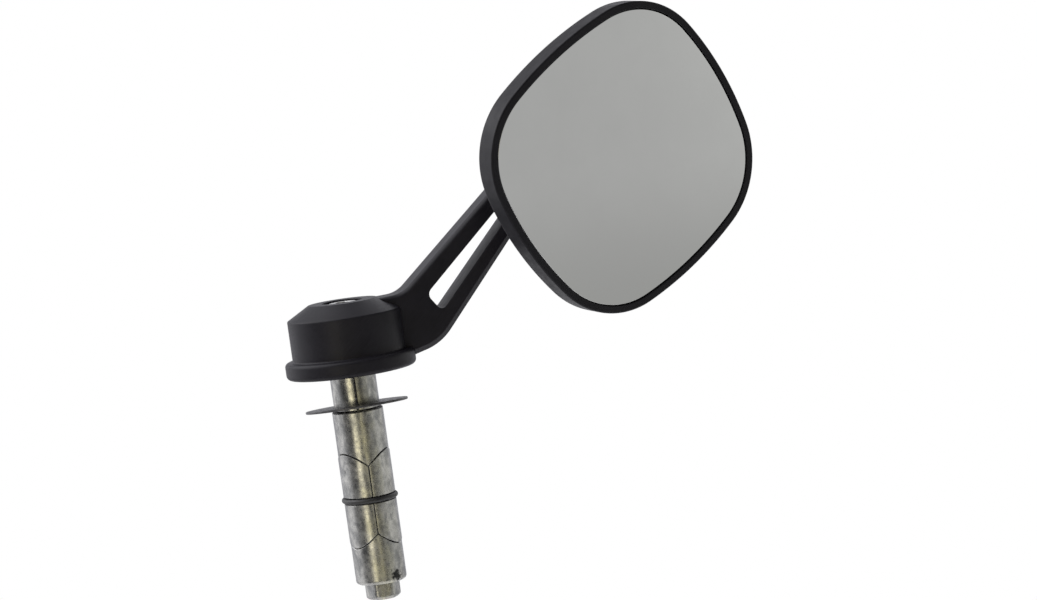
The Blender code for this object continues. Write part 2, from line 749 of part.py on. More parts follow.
def cut_screw_holes(obj, name, cutters, start=0.0, end=11 * MM):
    for i, angle in enumerate(screw_places()):
        hole = cylinder(f"{name}_{i + 1}", SCREW_R + GAP, start, end, cutters, None, 16)
        offset = Matrix.Translation((
            SCREW_CIRCLE_R * math.cos(angle), SCREW_CIRCLE_R * math.sin(angle), 0.0))
        place_on(hole, head_frame() @ offset)
        boolean(obj, hole, "DIFFERENCE", cutters)


def make_socket_screws(collection, cutters, material):
    head_top = RING_FLANGE[0] - GAP
    head_back = head_top - SCREW_HEAD_H
    tip = SOCKET_FLANGE[1] - GAP
    for i, angle in enumerate(screw_places()):
        screw = turned(f"socket_screw_{i + 1}", [
            (0.0, tip), (SCREW_R, tip), (SCREW_R, head_top), (SCREW_HEAD_R, head_top),
            (SCREW_HEAD_R, head_back + SCREW_EDGE), (SCREW_HEAD_R - SCREW_EDGE, head_back), (0.0, head_back),
        ], collection, material, 20, closed=False)
        offset = Matrix.Translation((
            SCREW_CIRCLE_R * math.cos(angle), SCREW_CIRCLE_R * math.sin(angle), 0.0))
        place_on(screw, head_frame() @ offset)
        key = hexagon(f"screw_key_{i + 1}", SCREW_KEY_AF, head_back - MM,
                      head_back + SCREW_KEY_DEPTH, cutters)
        place_on(key, head_frame() @ offset)
        boolean(screw, key, "DIFFERENCE", cutters)


# Head ------------------------------------------------------------------------------------

def make_housing(collection, cutters, material):
    back = LIP_FRONT - RIM_T
    ledge = GLASS_FRONT - GLASS_T - PAD_T - CARRIER_T - 3 * GAP
    back_step = RIM_BACK_ROUND * QUARTER_STEP
    front_step = RIM_FRONT_ROUND * QUARTER_STEP
    rings = [
        (glass_outline(LIP_W - RIM_BACK_ROUND), back),
        (glass_outline(LIP_W - back_step), back + back_step),
        (glass_outline(LIP_W), back + RIM_BACK_ROUND),
        (glass_outline(LIP_W), LIP_FRONT - RIM_FRONT_ROUND),
        (glass_outline(LIP_W - front_step), LIP_FRONT - front_step),
        (glass_outline(LIP_W - RIM_FRONT_ROUND), LIP_FRONT),
        (glass_outline(GAP), LIP_FRONT),
        (glass_outline(GAP), ledge),
        (glass_outline(-LEDGE_W), ledge),
        (glass_outline(-LEDGE_W), back + FLOOR_T),
    ]
    housing = stacked("head_housing", rings, collection, material)
    frame = head_frame()
    place_on(housing, frame)
    hub_back = back - HUB_RISE
    hub = cylinder("housing_hub", HUB_R, hub_back, back + FLOOR_T / 2, cutters, None, 48)
    sink_floor = back + FLOOR_T - HUB_SINK
    sink = cylinder("housing_sink", HUB_R - HUB_WALL, sink_floor, back + RIM_T, cutters, None, 40)
    hole = cylinder("socket_hole", SOCKET_HOLE_R, hub_back - MM, back + RIM_T, cutters, None, 40)
    for tool in (hub, sink, hole):
        place_on(tool, frame)
    boolean(housing, hub, "UNION", cutters)
    boolean(housing, sink, "DIFFERENCE", cutters)
    boolean(housing, hole, "DIFFERENCE", cutters)
    cut_screw_holes(housing, "housing_screw_hole", cutters)
    return housing


def make_sheet(name, inset, low, high, collection, material):
    sheet = stacked(name, [(glass_outline(-inset), low), (glass_outline(-inset), high)], collection, material)
    return place_on(sheet, head_frame())


def make_glass_stack(collection, materials):
    glass_back = GLASS_FRONT - GLASS_T
    pad_back = glass_back - GAP - PAD_T
    carrier_back = pad_back - GAP - CARRIER_T
    make_sheet("mirror_glass", 0.0, glass_back, GLASS_FRONT, collection, materials["glass"])
    make_sheet("glass_pad", PAD_INSET, pad_back, pad_back + PAD_T, collection, materials["foam"])
    make_sheet("glass_carrier", CARRIER_INSET, carrier_back, carrier_back + CARRIER_T,
               collection, materials["plastic"])


def make_materials():
    return {
        "anodised": make_material("anodised", (0.018, 0.018, 0.021), 0.42, 0.6),
        "cast": make_material("cast_zinc", (0.23, 0.23, 0.20), 0.45, 0.9),
        "steel": make_material("steel", (0.45, 0.45, 0.44), 0.3, 1.0),
        "rubber": make_material("rubber", (0.012, 0.012, 0.013), 0.7, 0.0),
        "washer": make_material("dark_washer", (0.05, 0.05, 0.055), 0.45, 0.3),
        "nylon": make_material("nylon", (0.55, 0.54, 0.50), 0.5, 0.0),
        "plastic": make_material("black_plastic", (0.02, 0.02, 0.02), 0.5, 0.0),
        "foam": make_material("foam_tape", (0.06, 0.06, 0.06), 0.9, 0.0),
        "glass": make_material("mirror_face", (0.36, 0.36, 0.355), 0.05, 1.0),
    }


def main():
    reset_scene()
    parts = new_collection(OBJECT_NAME)
    cutters = new_collection("cutters")
    materials = make_materials()

    make_arm(parts, cutters, materials["anodised"])
    make_neck(parts, cutters, materials["cast"])
    make_end_washer(parts, materials["washer"])
    make_upper_wedge(parts, cutters, materials["cast"])
    make_segments(parts, cutters, materials["cast"])
    make_o_ring(parts, materials["rubber"])
    make_lower_wedge(parts, cutters, materials["cast"])
    make_draw_bolt(parts, cutters, materials["steel"])
    make_bolt_washer(parts, materials["steel"])
    make_draw_nut(parts, cutters, materials["cast"])

    make_ball_stud(parts, cutters, materials["steel"])
    make_stud_washer(parts, materials["steel"])
    make_stud_nut(parts, cutters, materials["steel"])
    make_liner("ball_liner_rear", LINER_REAR, parts, materials["nylon"])
    make_liner("ball_liner_front", LINER_FRONT, parts, materials["nylon"])
    make_socket_base(parts, cutters, materials["anodised"])
    make_socket_ring(parts, cutters, materials["anodised"])
    make_socket_screws(parts, cutters, materials["steel"])

    make_housing(parts, cutters, materials["anodised"])
    make_glass_stack(parts, materials)


main()
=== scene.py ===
"""Looks of the bar-end mirror: fine surfaces, materials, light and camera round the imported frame.

Units are metres, in the frame's own axes: +Z along the plug, +X the arm's reach, and the glass
towards -Y. Sizes come from the frame's nodes and joints, with the details named below.
"""
import json
import math

import bmesh
import bpy
from mathutils import Matrix, Vector
from mathutils.geometry import intersect_sphere_sphere_2d


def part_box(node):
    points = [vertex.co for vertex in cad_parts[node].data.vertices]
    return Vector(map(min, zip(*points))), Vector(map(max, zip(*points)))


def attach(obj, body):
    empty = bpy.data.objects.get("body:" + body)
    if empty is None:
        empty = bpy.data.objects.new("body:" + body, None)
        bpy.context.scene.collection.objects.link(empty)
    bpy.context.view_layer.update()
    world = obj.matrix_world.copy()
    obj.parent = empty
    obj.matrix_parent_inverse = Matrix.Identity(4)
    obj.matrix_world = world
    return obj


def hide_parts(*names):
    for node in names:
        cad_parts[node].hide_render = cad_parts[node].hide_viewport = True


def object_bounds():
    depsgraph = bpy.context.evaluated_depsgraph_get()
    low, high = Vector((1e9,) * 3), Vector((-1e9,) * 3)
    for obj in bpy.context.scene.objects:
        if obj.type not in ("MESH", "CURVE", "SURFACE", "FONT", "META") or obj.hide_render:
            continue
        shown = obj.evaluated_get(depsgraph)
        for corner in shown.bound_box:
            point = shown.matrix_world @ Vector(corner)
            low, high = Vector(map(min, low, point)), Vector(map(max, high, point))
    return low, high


MM = 0.001
TURN = 2 * math.pi
GAP = 0.3 * MM                              # clearance between neighbouring pieces
OVERLAP = 1.0 * MM                          # reach of a cutter or a joined piece past a face
SHARP_ANGLE = math.radians(32.0)

# Camera
CAMERA_AZIMUTH = math.radians(-14.5)
CAMERA_ELEVATION = math.radians(5.0)
CAMERA_ROLL = math.radians(7.8)
CAMERA_DISTANCE = 0.9
CAMERA_AIM = (56.83 * MM, 24.37 * MM)       # from the origin, to the right and up in the view
CAMERA_LENS = 91.54
SENSOR_WIDTH = 36.0

# Floor and light
FLOOR_DROP = 0.30
FLOOR_RADIUS = 0.75
AMBIENT = (0.12, 0.12, 0.123)
BACKGROUND = (1.0, 1.0, 1.0)
SOFT_BOXES = (                              # direction, full within, gone beyond (degrees), colour
    ((-0.60, 0.10, 0.80), 22.0, 48.0, (2.9, 2.9, 2.98)),
    ((-0.85, 0.50, 0.15), 14.0, 46.0, (1.2, 1.2, 1.24)),
    ((1.0, 0.0, 0.10), 15.0, 45.0, (0.75, 0.75, 0.72)),
    ((0.25, 0.96, 0.05), 20.0, 70.0, (0.58, 0.58, 0.62)),
    ((0.55, 0.60, 0.58), 10.0, 32.0, (0.6, 0.6, 0.62)),
    ((-0.57, -0.82, 0.0), 7.0, 15.0, (3.5, 3.25, 2.5)),
    ((0.02, -1.0, 0.0), 3.0, 12.0, (1.3, 1.2, 0.85)),
    ((0.75, -0.63, -0.20), 12.0, 28.0, (0.42, 0.42, 0.41)),
)

# Cap and flange, turned about Z
FLANGE_H = 5.8 * MM
FLANGE_ROUND = 1.6 * MM
CAP_R = 19.5 * MM
CAP_WALL_TOP = 19.8 * MM
CAP_TOP = 24.3 * MM
CAP_TOP_R = 11.7 * MM
RECESS_R = 6.9 * MM
RECESS_FLOOR = 16.5 * MM
BOLT_HOLE_R = 3.3 * MM
NECK_POCKET_R = 8.2 * MM
NECK_POCKET_H = 2.3 * MM

# Arm: corners of its outline in the XZ plane, as x, z and radius in millimetres
ARM_T = 12.6 * MM
ARM_CORNERS = (
    (10.0, 23.7, 0.0),
    (20.0, 24.1, 10.0),
    (72.2, 68.3, 26.0),
    (102.3, 69.8, 8.5),
    (102.3, 51.8, 8.5),
    (73.7, 51.8, 22.0),
    (31.5, 5.1, 35.0),
    (20.3, 2.3, 0.0),
    (10.0, 3.0, 0.0),
)
SLOT_CORNERS = (
    (28.3, 22.6, 2.6),
    (64.0, 54.3, 1.5),
    (67.0, 51.9, 1.5),
    (32.9, 16.0, 1.9),
)
UPPER_EDGE = (1.1 * MM, 1.9 * MM)           # chamfer width, and the radius that softens it
LOWER_EDGE = (1.9 * MM, 0.55 * MM)
EDGE_BLEND_W = 3.0 * MM                     # width over which the one edge turns into the other
MIDDLE_DROP = 10.0 * MM                     # start of the arm's middle line, under its first corner
SLOT_ROUND = 0.35 * MM

# Plug
WASHER_BORE_R = 8.2 * MM
NECK_WALL = 2.25 * MM
NECK_SLIT = 0.8 * MM
NECK_SLIT_AZIMUTH = math.radians(-99.3)
NECK_EDGE = 0.2 * MM
WEDGE_CHAMFER = 0.5 * MM
PULLER_ROUND = 1.2 * MM
SEAM_ROUND = 0.18 * MM
SEGMENT_COUNT = 3
SEGMENT_BORE_R = 4.4 * MM
GROOVE_R = 6.9 * MM
GROOVE_W = 2.4 * MM
GROOVE_ROUND = 0.15 * MM
NUT_SPIGOT_R = 4.3 * MM
NUT_AF = 11.0 * MM
NUT_ROUND = 1.3 * MM
WASHER_LEAN = math.radians(4.5)
STAIN_AZIMUTH = math.radians(-64.0)         # a dark stain near the plug's foot
STAIN_HEIGHT = -70.6 * MM
STAIN_SIZE = 2.7 * MM

# Fasteners
PITCH = 1.0 * MM
THREAD_DEPTH = 0.5 * MM
HEX_KEY_AF = 5.0 * MM
HEX_KEY_DEPTH = 3.2 * MM
DRILL_POINT = 0.6 * MM                      # depth of the drill's cone under the key
BOLT_R = 3.0 * MM
BOLT_HEAD_H = 5.8 * MM
THREAD_TOP = -40 * MM
KNURL_TEETH = 36
KNURL_DEPTH = 0.14 * MM
KNURL_START = 1.5 * MM                      # below the head's top
COLLAR_AF = 11.0 * MM
COLLAR_T = 2.8 * MM
NECK_ROD_R = 2.25 * MM
NECK_ROOT_R = 3.1 * MM
BALL_R = 6.0 * MM
STUD_THREAD_START = 6.0 * MM                # from the collar
STUD_NUT_AF = 10.0 * MM
WASHER_EDGE = 0.2 * MM

# Head
HEAD_LONG = Vector((0.8351, 0.1844, 0.5183))    # along the glass, before it is squared to the axis
END_BULGE_R = 105.0 * MM                    # the glass's bulging ends, sides and round corners
SIDE_BULGE_R = 131.0 * MM
CORNER_R = 27.5 * MM
GLASS_TAPER = 0.0209                        # the glass lengthens by this share towards local +Y
GLASS_POLISH = 0.2 * MM
LIP_W = 2.8 * MM
RIM_T = 9.2 * MM
RIM_FRONT_ROUND = 0.6 * MM
RIM_BACK_ROUND = 1.6 * MM
LIP_INNER_ROUND = 0.25 * MM
LEDGE_W = 4.5 * MM
FLOOR_T = 2.0 * MM
HUB_R = 16.6 * MM
HUB_SINK = 0.6 * MM
HUB_WALL = 0.9 * MM
SOCKET_HOLE_R = 9.0 * MM
SCREW_COUNT = 3
SCREW_CIRCLE_R = 12.7 * MM
SCREW_R = 1.1 * MM
SCREW_HEAD_H = 1.6 * MM
SCREW_KEY_AF = 1.5 * MM
SCREW_KEY_DEPTH = 0.9 * MM
SOCKET_FLANGE_T = 2.0 * MM
SOCKET_CAVITY_R = 7.3 * MM
SOCKET_BORE_R = 8.9 * MM
SOCKET_NECK_R = 9.9 * MM
SOCKET_MOUTH = math.radians(57.0)           # the cavity's edge, from the head's axis
LINER_INNER_R = 6.25 * MM
LINER_OUTER_R = 7.05 * MM
LINER_SPAN = (math.radians(-40.0), math.radians(-12.0))
BULGE_STEPS = 18                            # steps along half a side of the glass
CORNER_STEPS = 40
FACE_INSET = 20.0 * MM                      # the flat faces' inner ring, in from the glass's edge

# Materials
ANODISED_SPECULAR = 0.15
COLOUR_A, COLOUR_B, COLOUR_OUT = 6, 7, 2    # a Mix node's colour sockets

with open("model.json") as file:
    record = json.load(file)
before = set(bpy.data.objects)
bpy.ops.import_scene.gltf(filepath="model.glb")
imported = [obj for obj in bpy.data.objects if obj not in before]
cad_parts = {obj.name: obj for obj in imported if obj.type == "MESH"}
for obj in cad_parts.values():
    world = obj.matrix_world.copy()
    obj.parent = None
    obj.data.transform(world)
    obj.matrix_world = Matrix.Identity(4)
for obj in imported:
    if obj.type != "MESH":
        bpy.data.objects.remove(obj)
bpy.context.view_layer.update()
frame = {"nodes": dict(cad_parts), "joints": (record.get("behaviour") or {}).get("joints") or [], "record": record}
record = frame["record"]
joints = {joint["name"]: joint for joint in frame["joints"]}
body_of = {node: body for body, nodes in record["behaviour"]["bodies"].items() for node in nodes}
slot_of = {part["node"]: part["material_slot"] for part in record["subparts"]}


# Frames ----------------------------------------------------------------------------------

def head_frame():
    """Local X along the glass, Y across it, Z along the head's axis, from the ball's centre."""
    z_axis = Vector(joints["head_spin"]["axis"]).normalized()
    x_axis = (HEAD_LONG - z_axis * HEAD_LONG.dot(z_axis)).normalized()
    y_axis = z_axis.cross(x_axis)
    placed = Matrix((x_axis, y_axis, z_axis)).transposed().to_4x4()
    placed.translation = Vector(joints["head_spin"]["pos_m"])
    return placed


def stud_frame():
    """Local Z along the stud, from the ball's centre towards the arm."""
    placed = Matrix.Rotation(-TURN / 4, 4, "X")
    placed.translation = Vector(joints["head_spin"]["pos_m"])
    return placed


HEAD = head_frame()
STUD = stud_frame()


def segment_axis(number):
    return Vector(joints[f"segment_{number}_spread"]["axis"])


def segment_azimuth(number):
    axis = segment_axis(number)
    return math.atan2(axis.y, axis.x)


def seam_azimuth():
    """Azimuth of the seam between the last segment and the first."""
    return segment_azimuth(1) - math.pi / SEGMENT_COUNT


def ramp_slope():
    """Rise over run of the wedges' faces, which the segments slide up."""
    axis = segment_axis(1)
    return axis.z / math.hypot(axis.x, axis.y)


def off_face(angle):
    """Angle from the middle of the nearest wedge face."""
    sector = TURN / SEGMENT_COUNT
    return (angle - segment_azimuth(1) + sector / 2) % sector - sector / 2


def local_box(node, placed):
    """Lowest and highest corners of a CAD node in a local frame."""
    into = placed.inverted()
    points = [into @ v.co for v in frame["nodes"][node].data.vertices]
    low = Vector(min(p[i] for p in points) for i in range(3))
    high = Vector(max(p[i] for p in points) for i in range(3))
    return low, high


# Mesh building ---------------------------------------------------------------------------

def mesh_object(name, bm, placed=Matrix.Identity(4)):
    bmesh.ops.remove_doubles(bm, verts=bm.verts, dist=0.0005 * MM)
    bmesh.ops.recalc_face_normals(bm, faces=bm.faces)
    mesh = bpy.data.meshes.new(name)
    bm.to_mesh(mesh)
    bm.free()
    mesh.transform(placed)
    obj = bpy.data.objects.new(name, mesh)
    bpy.context.scene.collection.objects.link(obj)
    smooth(obj)
    return obj


def smooth(obj):
    obj.data.shade_smooth()
    obj.data.set_sharp_from_angle(angle=SHARP_ANGLE)


def fillets(corners, steps=5, closed=False):
    """A path through (x, y, radius) corners, each replaced by an arc of a fixed number of points.

    A radius that doesn't fit is made smaller. A point on the straight just beyond each end of an arc
    keeps the flats beside it flat.
    """
    points = []
    count = len(corners)
    for i, (x, y, radius) in enumerate(corners):
        here = Vector((x, y))
        if radius <= 0.0 or (not closed and i in (0, count - 1)):
            points.append(here)
            continue
        before = Vector(corners[i - 1][:2]) - here
        after = Vector(corners[(i + 1) % count][:2]) - here
        back, ahead = before.normalized(), after.normalized()
        half = before.angle(after) / 2
        reach = min(radius / math.tan(half), 0.49 * before.length, 0.49 * after.length)
        radius = reach * math.tan(half)
        centre = here + (back + ahead).normalized() * radius / math.sin(half)
        first = here + back * reach - centre
        turn = first.angle_signed(here + ahead * reach - centre)
        points.append(here + back * beyond(reach, before.length))
        for k in range(steps + 1):
            spoke = first.copy()
            spoke.rotate(Matrix.Rotation(-turn * k / steps, 2))
            points.append(centre + spoke)
        points.append(here + ahead * beyond(reach, after.length))
    return points


def beyond(reach, length):
    """Distance from a corner to the point that holds the straight flat, past the arc's end."""
    return reach + min(0.3 * reach, 0.5 * (0.5 * length - reach))


def arc_points(centre, radius, start, end, steps):
    """Points on an arc from one angle to another, both ends included."""
    angles = [start + (end - start) * i / steps for i in range(steps + 1)]
    return [Vector(centre) + Vector((math.cos(a), math.sin(a))) * radius for a in angles]


def whole_turn(steps, start=0.0):
    return [start + TURN * k / steps for k in range(steps)]


def sweep(name, section_at, angles, joined=True, closed=True, placed=Matrix.Identity(4)):
    """A solid swept about Z through the (radius, height) section that section_at gives at each angle.

    Unless it is joined, the sweep ends in two flat faces. A section that isn't closed ends on the axis.
    """
    bm = bmesh.new()
    columns = []
    for angle in angles:
        c, s = math.cos(angle), math.sin(angle)
        columns.append([bm.verts.new((r * c, r * s, z)) for r, z in section_at(angle)])
    size = len(columns[0])
    following = columns[1:] + columns[:1] if joined else columns[1:]
    for here, there in zip(columns, following):
        for i in range(size if closed else size - 1):
            j = (i + 1) % size
            bm.faces.new((here[i], there[i], there[j], here[j]))
    if not joined:
        bm.faces.new(columns[0])
        bm.faces.new(columns[-1])
    return mesh_object(name, bm, placed)


def skinned(name, rings, placed=Matrix.Identity(4)):
    """A closed solid through rings of equally many points, with a flat face over each end ring."""
    bm = bmesh.new()
    loops = [[bm.verts.new(point) for point in ring] for ring in rings]
    count = len(loops[0])
    for here, there in zip(loops, loops[1:]):
        for i in range(count):
            j = (i + 1) % count
            bm.faces.new((here[i], here[j], there[j], there[i]))
    bm.faces.new(loops[0])
    bm.faces.new(loops[-1])
    return mesh_object(name, bm, placed)


def turned(name, corners, steps=144, closed=True, placed=Matrix.Identity(4), arc_steps=5):
    """A solid turned about Z from (radius, height, rounding) corners."""
    section = fillets(corners, arc_steps, closed)
    return sweep(name, lambda angle: section, whole_turn(steps), closed=closed, placed=placed)


def cylinder(name, radius, start, end, steps=128, placed=Matrix.Identity(4)):
    corners = [(0.0, start, 0.0), (radius, start, 0.0), (radius, end, 0.0), (0.0, end, 0.0)]
    return turned(name, corners, steps, closed=False, placed=placed)


def flat_washer(name, node, bore, edge=WASHER_EDGE, steps=96, placed=Matrix.Identity(4), arc_steps=5):
    """A flat washer that fills its node's height and outer radius in a local frame."""
    low, high = local_box(node, placed)
    return turned(name, [
        (bore, high.z, 0.1 * MM), (high.x, high.z, edge), (high.x, low.z, edge), (bore, low.z, 0.1 * MM),
    ], steps, placed=placed, arc_steps=arc_steps)


def carve(obj, tool, operation="DIFFERENCE"):
    """Apply a boolean with a tool that is then thrown away."""
    modifier = obj.modifiers.new("carve", "BOOLEAN")
    modifier.operation = operation
    modifier.solver = "EXACT"
    modifier.object = tool
    graph = bpy.context.evaluated_depsgraph_get()
    mesh = bpy.data.meshes.new_from_object(obj.evaluated_get(graph))
    obj.modifiers.clear()
    obj.data = mesh
    bpy.data.objects.remove(tool, do_unlink=True)
    smooth(obj)


def hex_radius(angle, across_flats, softness=0.0):
    """Radius of a hexagon at an angle; softness rounds its corners off."""
    flat = across_flats / 2
    radius = flat / math.cos(angle % (TURN / 6) - TURN / 12)
    if softness <= 0.0:
        return radius
    limit = flat / math.cos(TURN / 12) - softness
    sharpness = 40.0
    return (radius ** -sharpness + limit ** -sharpness) ** (-1 / sharpness)


def threaded(radius, start, end, angle):
    """Section points along a thread at an angle, from height start to height end."""
    points = []
    per_turn = 8
    count = max(2, round(abs(end - start) / PITCH * per_turn))
    for i in range(count + 1):
        z = start + (end - start) * i / count
        phase = (z / PITCH - angle / TURN) % 1.0
        fade = min(1.0, i / per_turn, (count - i) / per_turn)
        depth = THREAD_DEPTH * fade * abs(2 * phase - 1)
        points.append((radius - depth, z))
    return points


# Nodes -----------------------------------------------------------------------------------

class Shade:
    """A material's node tree, with short calls for the nodes that these materials use."""

    def __init__(self, name, colour, roughness, metallic=0.0):
        self.material = bpy.data.materials.new(name)
        self.material.use_nodes = True
        self.tree = self.material.node_tree
        self.shader = self.tree.nodes["Principled BSDF"]
        self.shader.inputs["Metallic"].default_value = metallic
        self.set("Base Color", colour)
        self.set("Roughness", roughness)
        self.coordinates = self.tree.nodes.new("ShaderNodeTexCoord").outputs["Object"]

    def set(self, name, value):
        self.feed(self.shader.inputs[name], value)

    def feed(self, socket, value):
        """Link an output to a socket, or give the socket a constant colour or number."""
        if isinstance(value, bpy.types.NodeSocket):
            self.tree.links.new(value, socket)
        elif isinstance(value, tuple):
            socket.default_value = (*value, 1.0)
        else:
            socket.default_value = value

    def place(self, scale=(1.0, 1.0, 1.0), turn=(0.0, 0.0, 0.0)):
        """Object coordinates turned, then stretched."""
        node = self.tree.nodes.new("ShaderNodeMapping")
        node.vector_type = "TEXTURE"
        node.inputs["Rotation"].default_value = turn
        node.inputs["Scale"].default_value = scale
        self.tree.links.new(self.coordinates, node.inputs["Vector"])
        return node.outputs["Vector"]

    def noise(self, size, detail=3.0, rough=0.55, where=None, distortion=0.0):
        """Noise whose features measure about size metres, from 0 to 1."""
        node = self.tree.nodes.new("ShaderNodeTexNoise")
        node.inputs["Scale"].default_value = 1.0 / size
        node.inputs["Detail"].default_value = detail
        node.inputs["Roughness"].default_value = rough
        node.inputs["Distortion"].default_value = distortion
        self.tree.links.new(where or self.coordinates, node.inputs["Vector"])
        return node.outputs["Fac"]

    def ramp(self, factor, low, high, start=0.3, end=0.7):
        """Values or colours from low to high as factor goes from start to end."""
        colours = isinstance(low, tuple)
        node = self.tree.nodes.new("ShaderNodeMapRange")
        node.interpolation_type = "SMOOTHSTEP"
        node.inputs["From Min"].default_value = start
        node.inputs["From Max"].default_value = end
        if not colours:
            node.inputs["To Min"].default_value = low
            node.inputs["To Max"].default_value = high
        self.tree.links.new(factor, node.inputs["Value"])
        if not colours:
            return node.outputs["Result"]
        return self.mix(node.outputs["Result"], low, high)

    def mix(self, factor, first, second):
        node = self.tree.nodes.new("ShaderNodeMix")
        node.data_type = "RGBA"
        self.feed(node.inputs["Factor"], factor)
        self.feed(node.inputs[COLOUR_A], first)
        self.feed(node.inputs[COLOUR_B], second)
        return node.outputs[COLOUR_OUT]

    def maths(self, operation, first, second):
        node = self.tree.nodes.new("ShaderNodeMath")
        node.operation = operation
        self.feed(node.inputs[0], first)
        self.feed(node.inputs[1], second)
        return node.outputs[0]

    def axis(self, index):
        node = self.tree.nodes.new("ShaderNodeSeparateXYZ")
        self.tree.links.new(self.coordinates, node.inputs[0])
        return node.outputs[index]

    def towards(self, azimuth):
        """Cosine of the angle between a point's own azimuth about Z and a given one."""
        flat = self.tree.nodes.new("ShaderNodeVectorMath")
        flat.operation = "MULTIPLY"
        flat.inputs[1].default_value = (1.0, 1.0, 0.0)
        self.tree.links.new(self.coordinates, flat.inputs[0])
        unit = self.tree.nodes.new("ShaderNodeVectorMath")
        unit.operation = "NORMALIZE"
        self.tree.links.new(flat.outputs[0], unit.inputs[0])
        dot = self.tree.nodes.new("ShaderNodeVectorMath")
        dot.operation = "DOT_PRODUCT"
        dot.inputs[1].default_value = (math.cos(azimuth), math.sin(azimuth), 0.0)
        self.tree.links.new(unit.outputs[0], dot.inputs[0])
        return dot.outputs["Value"]

    def near(self, point, size):
        """One at a point, falling to zero over a ragged edge at about size metres from it."""
        distance = self.tree.nodes.new("ShaderNodeVectorMath")
        distance.operation = "DISTANCE"
        distance.inputs[1].default_value = point
        self.tree.links.new(self.coordinates, distance.inputs[0])
        ragged = self.maths("MULTIPLY", self.noise(size / 2, 5.0, 0.75), 3 * size)
        edge = self.maths("ADD", distance.outputs["Value"], ragged)
        return self.ramp(edge, 1.0, 0.0, 1.9 * size, 2.4 * size)

    def bump(self, *layers):
        """Stack (height, depth in metres) layers into the shader's normal."""
        normal = None
        for height, depth in layers:
            node = self.tree.nodes.new("ShaderNodeBump")
            node.inputs["Strength"].default_value = 1.0
            node.inputs["Distance"].default_value = depth
            self.tree.links.new(height, node.inputs["Height"])
            if normal:
                self.tree.links.new(normal, node.inputs["Normal"])
            normal = node.outputs["Normal"]
        self.tree.links.new(normal, self.shader.inputs["Normal"])


# Materials -------------------------------------------------------------------------------

def anodised_material():
    """Fine bead-blasted aluminium under black anodising."""
    shade = Shade("anodised_black", (0.007, 0.007, 0.0078), 0.42)
    cloud = shade.noise(14 * MM, 3.0)
    shade.set("Base Color", shade.ramp(cloud, (0.0064, 0.0060, 0.0080), (0.0094, 0.0090, 0.0115)))
    grain = shade.noise(0.22 * MM, 2.0, 0.6)
    shade.set("Roughness", shade.ramp(shade.noise(3.5 * MM, 4.0), 0.38, 0.50))
    shade.bump((grain, 0.009 * MM), (shade.noise(2.4 * MM, 2.0), 0.004 * MM))
    shade.set("Specular IOR Level", ANODISED_SPECULAR)
    return shade.material


def arm_material():
    """The same finish, with the mill's faint streaks along the arm."""
    shade = Shade("anodised_arm", (0.0115, 0.0115, 0.0125), 0.42)
    along = math.atan2(SLOT_CORNERS[1][1] - SLOT_CORNERS[0][1], SLOT_CORNERS[1][0] - SLOT_CORNERS[0][0])
    lengthwise = shade.place((9.0, 1.0, 0.5), (0.0, -along, 0.0))
    streak = shade.noise(0.7 * MM, 3.0, 0.6, lengthwise)
    cloud = shade.noise(11 * MM, 3.0)
    base = shade.ramp(cloud, (0.0082, 0.0076, 0.0104), (0.0118, 0.0110, 0.0145))
    shade.set("Base Color", shade.mix(shade.ramp(streak, 0.0, 0.35), base, (0.019, 0.0182, 0.0225)))
    shade.set("Roughness", shade.ramp(streak, 0.37, 0.49))
    grain = shade.noise(0.22 * MM, 2.0, 0.6)
    shade.bump((grain, 0.009 * MM), (streak, 0.006 * MM))
    shade.set("Specular IOR Level", ANODISED_SPECULAR)
    return shade.material


def cast_material():
    """Zinc casting: mottled, with a painted warm reflection in patches down its front, dark smears and a fine
    tumbled skin.
    """
    shade = Shade("cast_zinc", (0.3, 0.3, 0.28), 0.3, 0.9)
    tall = shade.place((1.0, 1.0, 1.7))
    patches = shade.noise(4.0 * MM, 5.0, 0.65, tall, 0.4)
    base = shade.ramp(patches, (0.20, 0.202, 0.20), (0.42, 0.415, 0.395), 0.36, 0.64)
    # Painted reflection: a warm yellow tint in patches on the side facing the seam, standing in for a warm soft
    # box's highlight.
    reflection_side = shade.ramp(shade.towards(seam_azimuth() + 0.05), 0.0, 1.0, 0.84, 0.99)
    warm_reflection = shade.maths("MULTIPLY", reflection_side, shade.ramp(shade.noise(3.6 * MM, 4.0, 0.6, tall), 0.1, 0.9))
    base = shade.mix(warm_reflection, base, (0.48, 0.465, 0.36))
    mottle = shade.ramp(shade.noise(1.9 * MM, 4.0, 0.65), 0.0, 0.45, 0.45, 0.70)
    base = shade.mix(mottle, base, (0.15, 0.152, 0.15))
    smear = shade.ramp(shade.noise(6.0 * MM, 5.0, 0.7, tall, 0.8), 0.0, 0.7, 0.60, 0.72)
    base = shade.mix(smear, base, (0.085, 0.088, 0.09))
    foot_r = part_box("lower_wedge")[1].x
    stain_point = (foot_r * math.cos(STAIN_AZIMUTH), foot_r * math.sin(STAIN_AZIMUTH), STAIN_HEIGHT)
    base = shade.mix(shade.near(stain_point, STAIN_SIZE), base, (0.022, 0.022, 0.021))
    shade.set("Base Color", base)
    shade.set("Roughness", shade.ramp(shade.noise(1.6 * MM, 3.0, 0.6), 0.22, 0.33))
    shade.bump((shade.noise(0.5 * MM, 3.0, 0.6), 0.006 * MM), (patches, 0.04 * MM))
    return shade.material


def steel_material():
    shade = Shade("turned_steel", (0.55, 0.55, 0.54), 0.28, 1.0)
    rings = shade.place((1.0, 1.0, 0.12))
    lines = shade.noise(0.5 * MM, 3.0, 0.6, rings)
    shade.set("Base Color", shade.ramp(lines, (0.47, 0.47, 0.46), (0.64, 0.64, 0.62)))
    shade.set("Roughness", shade.ramp(lines, 0.22, 0.36))
    shade.bump((lines, 0.008 * MM))
    return shade.material


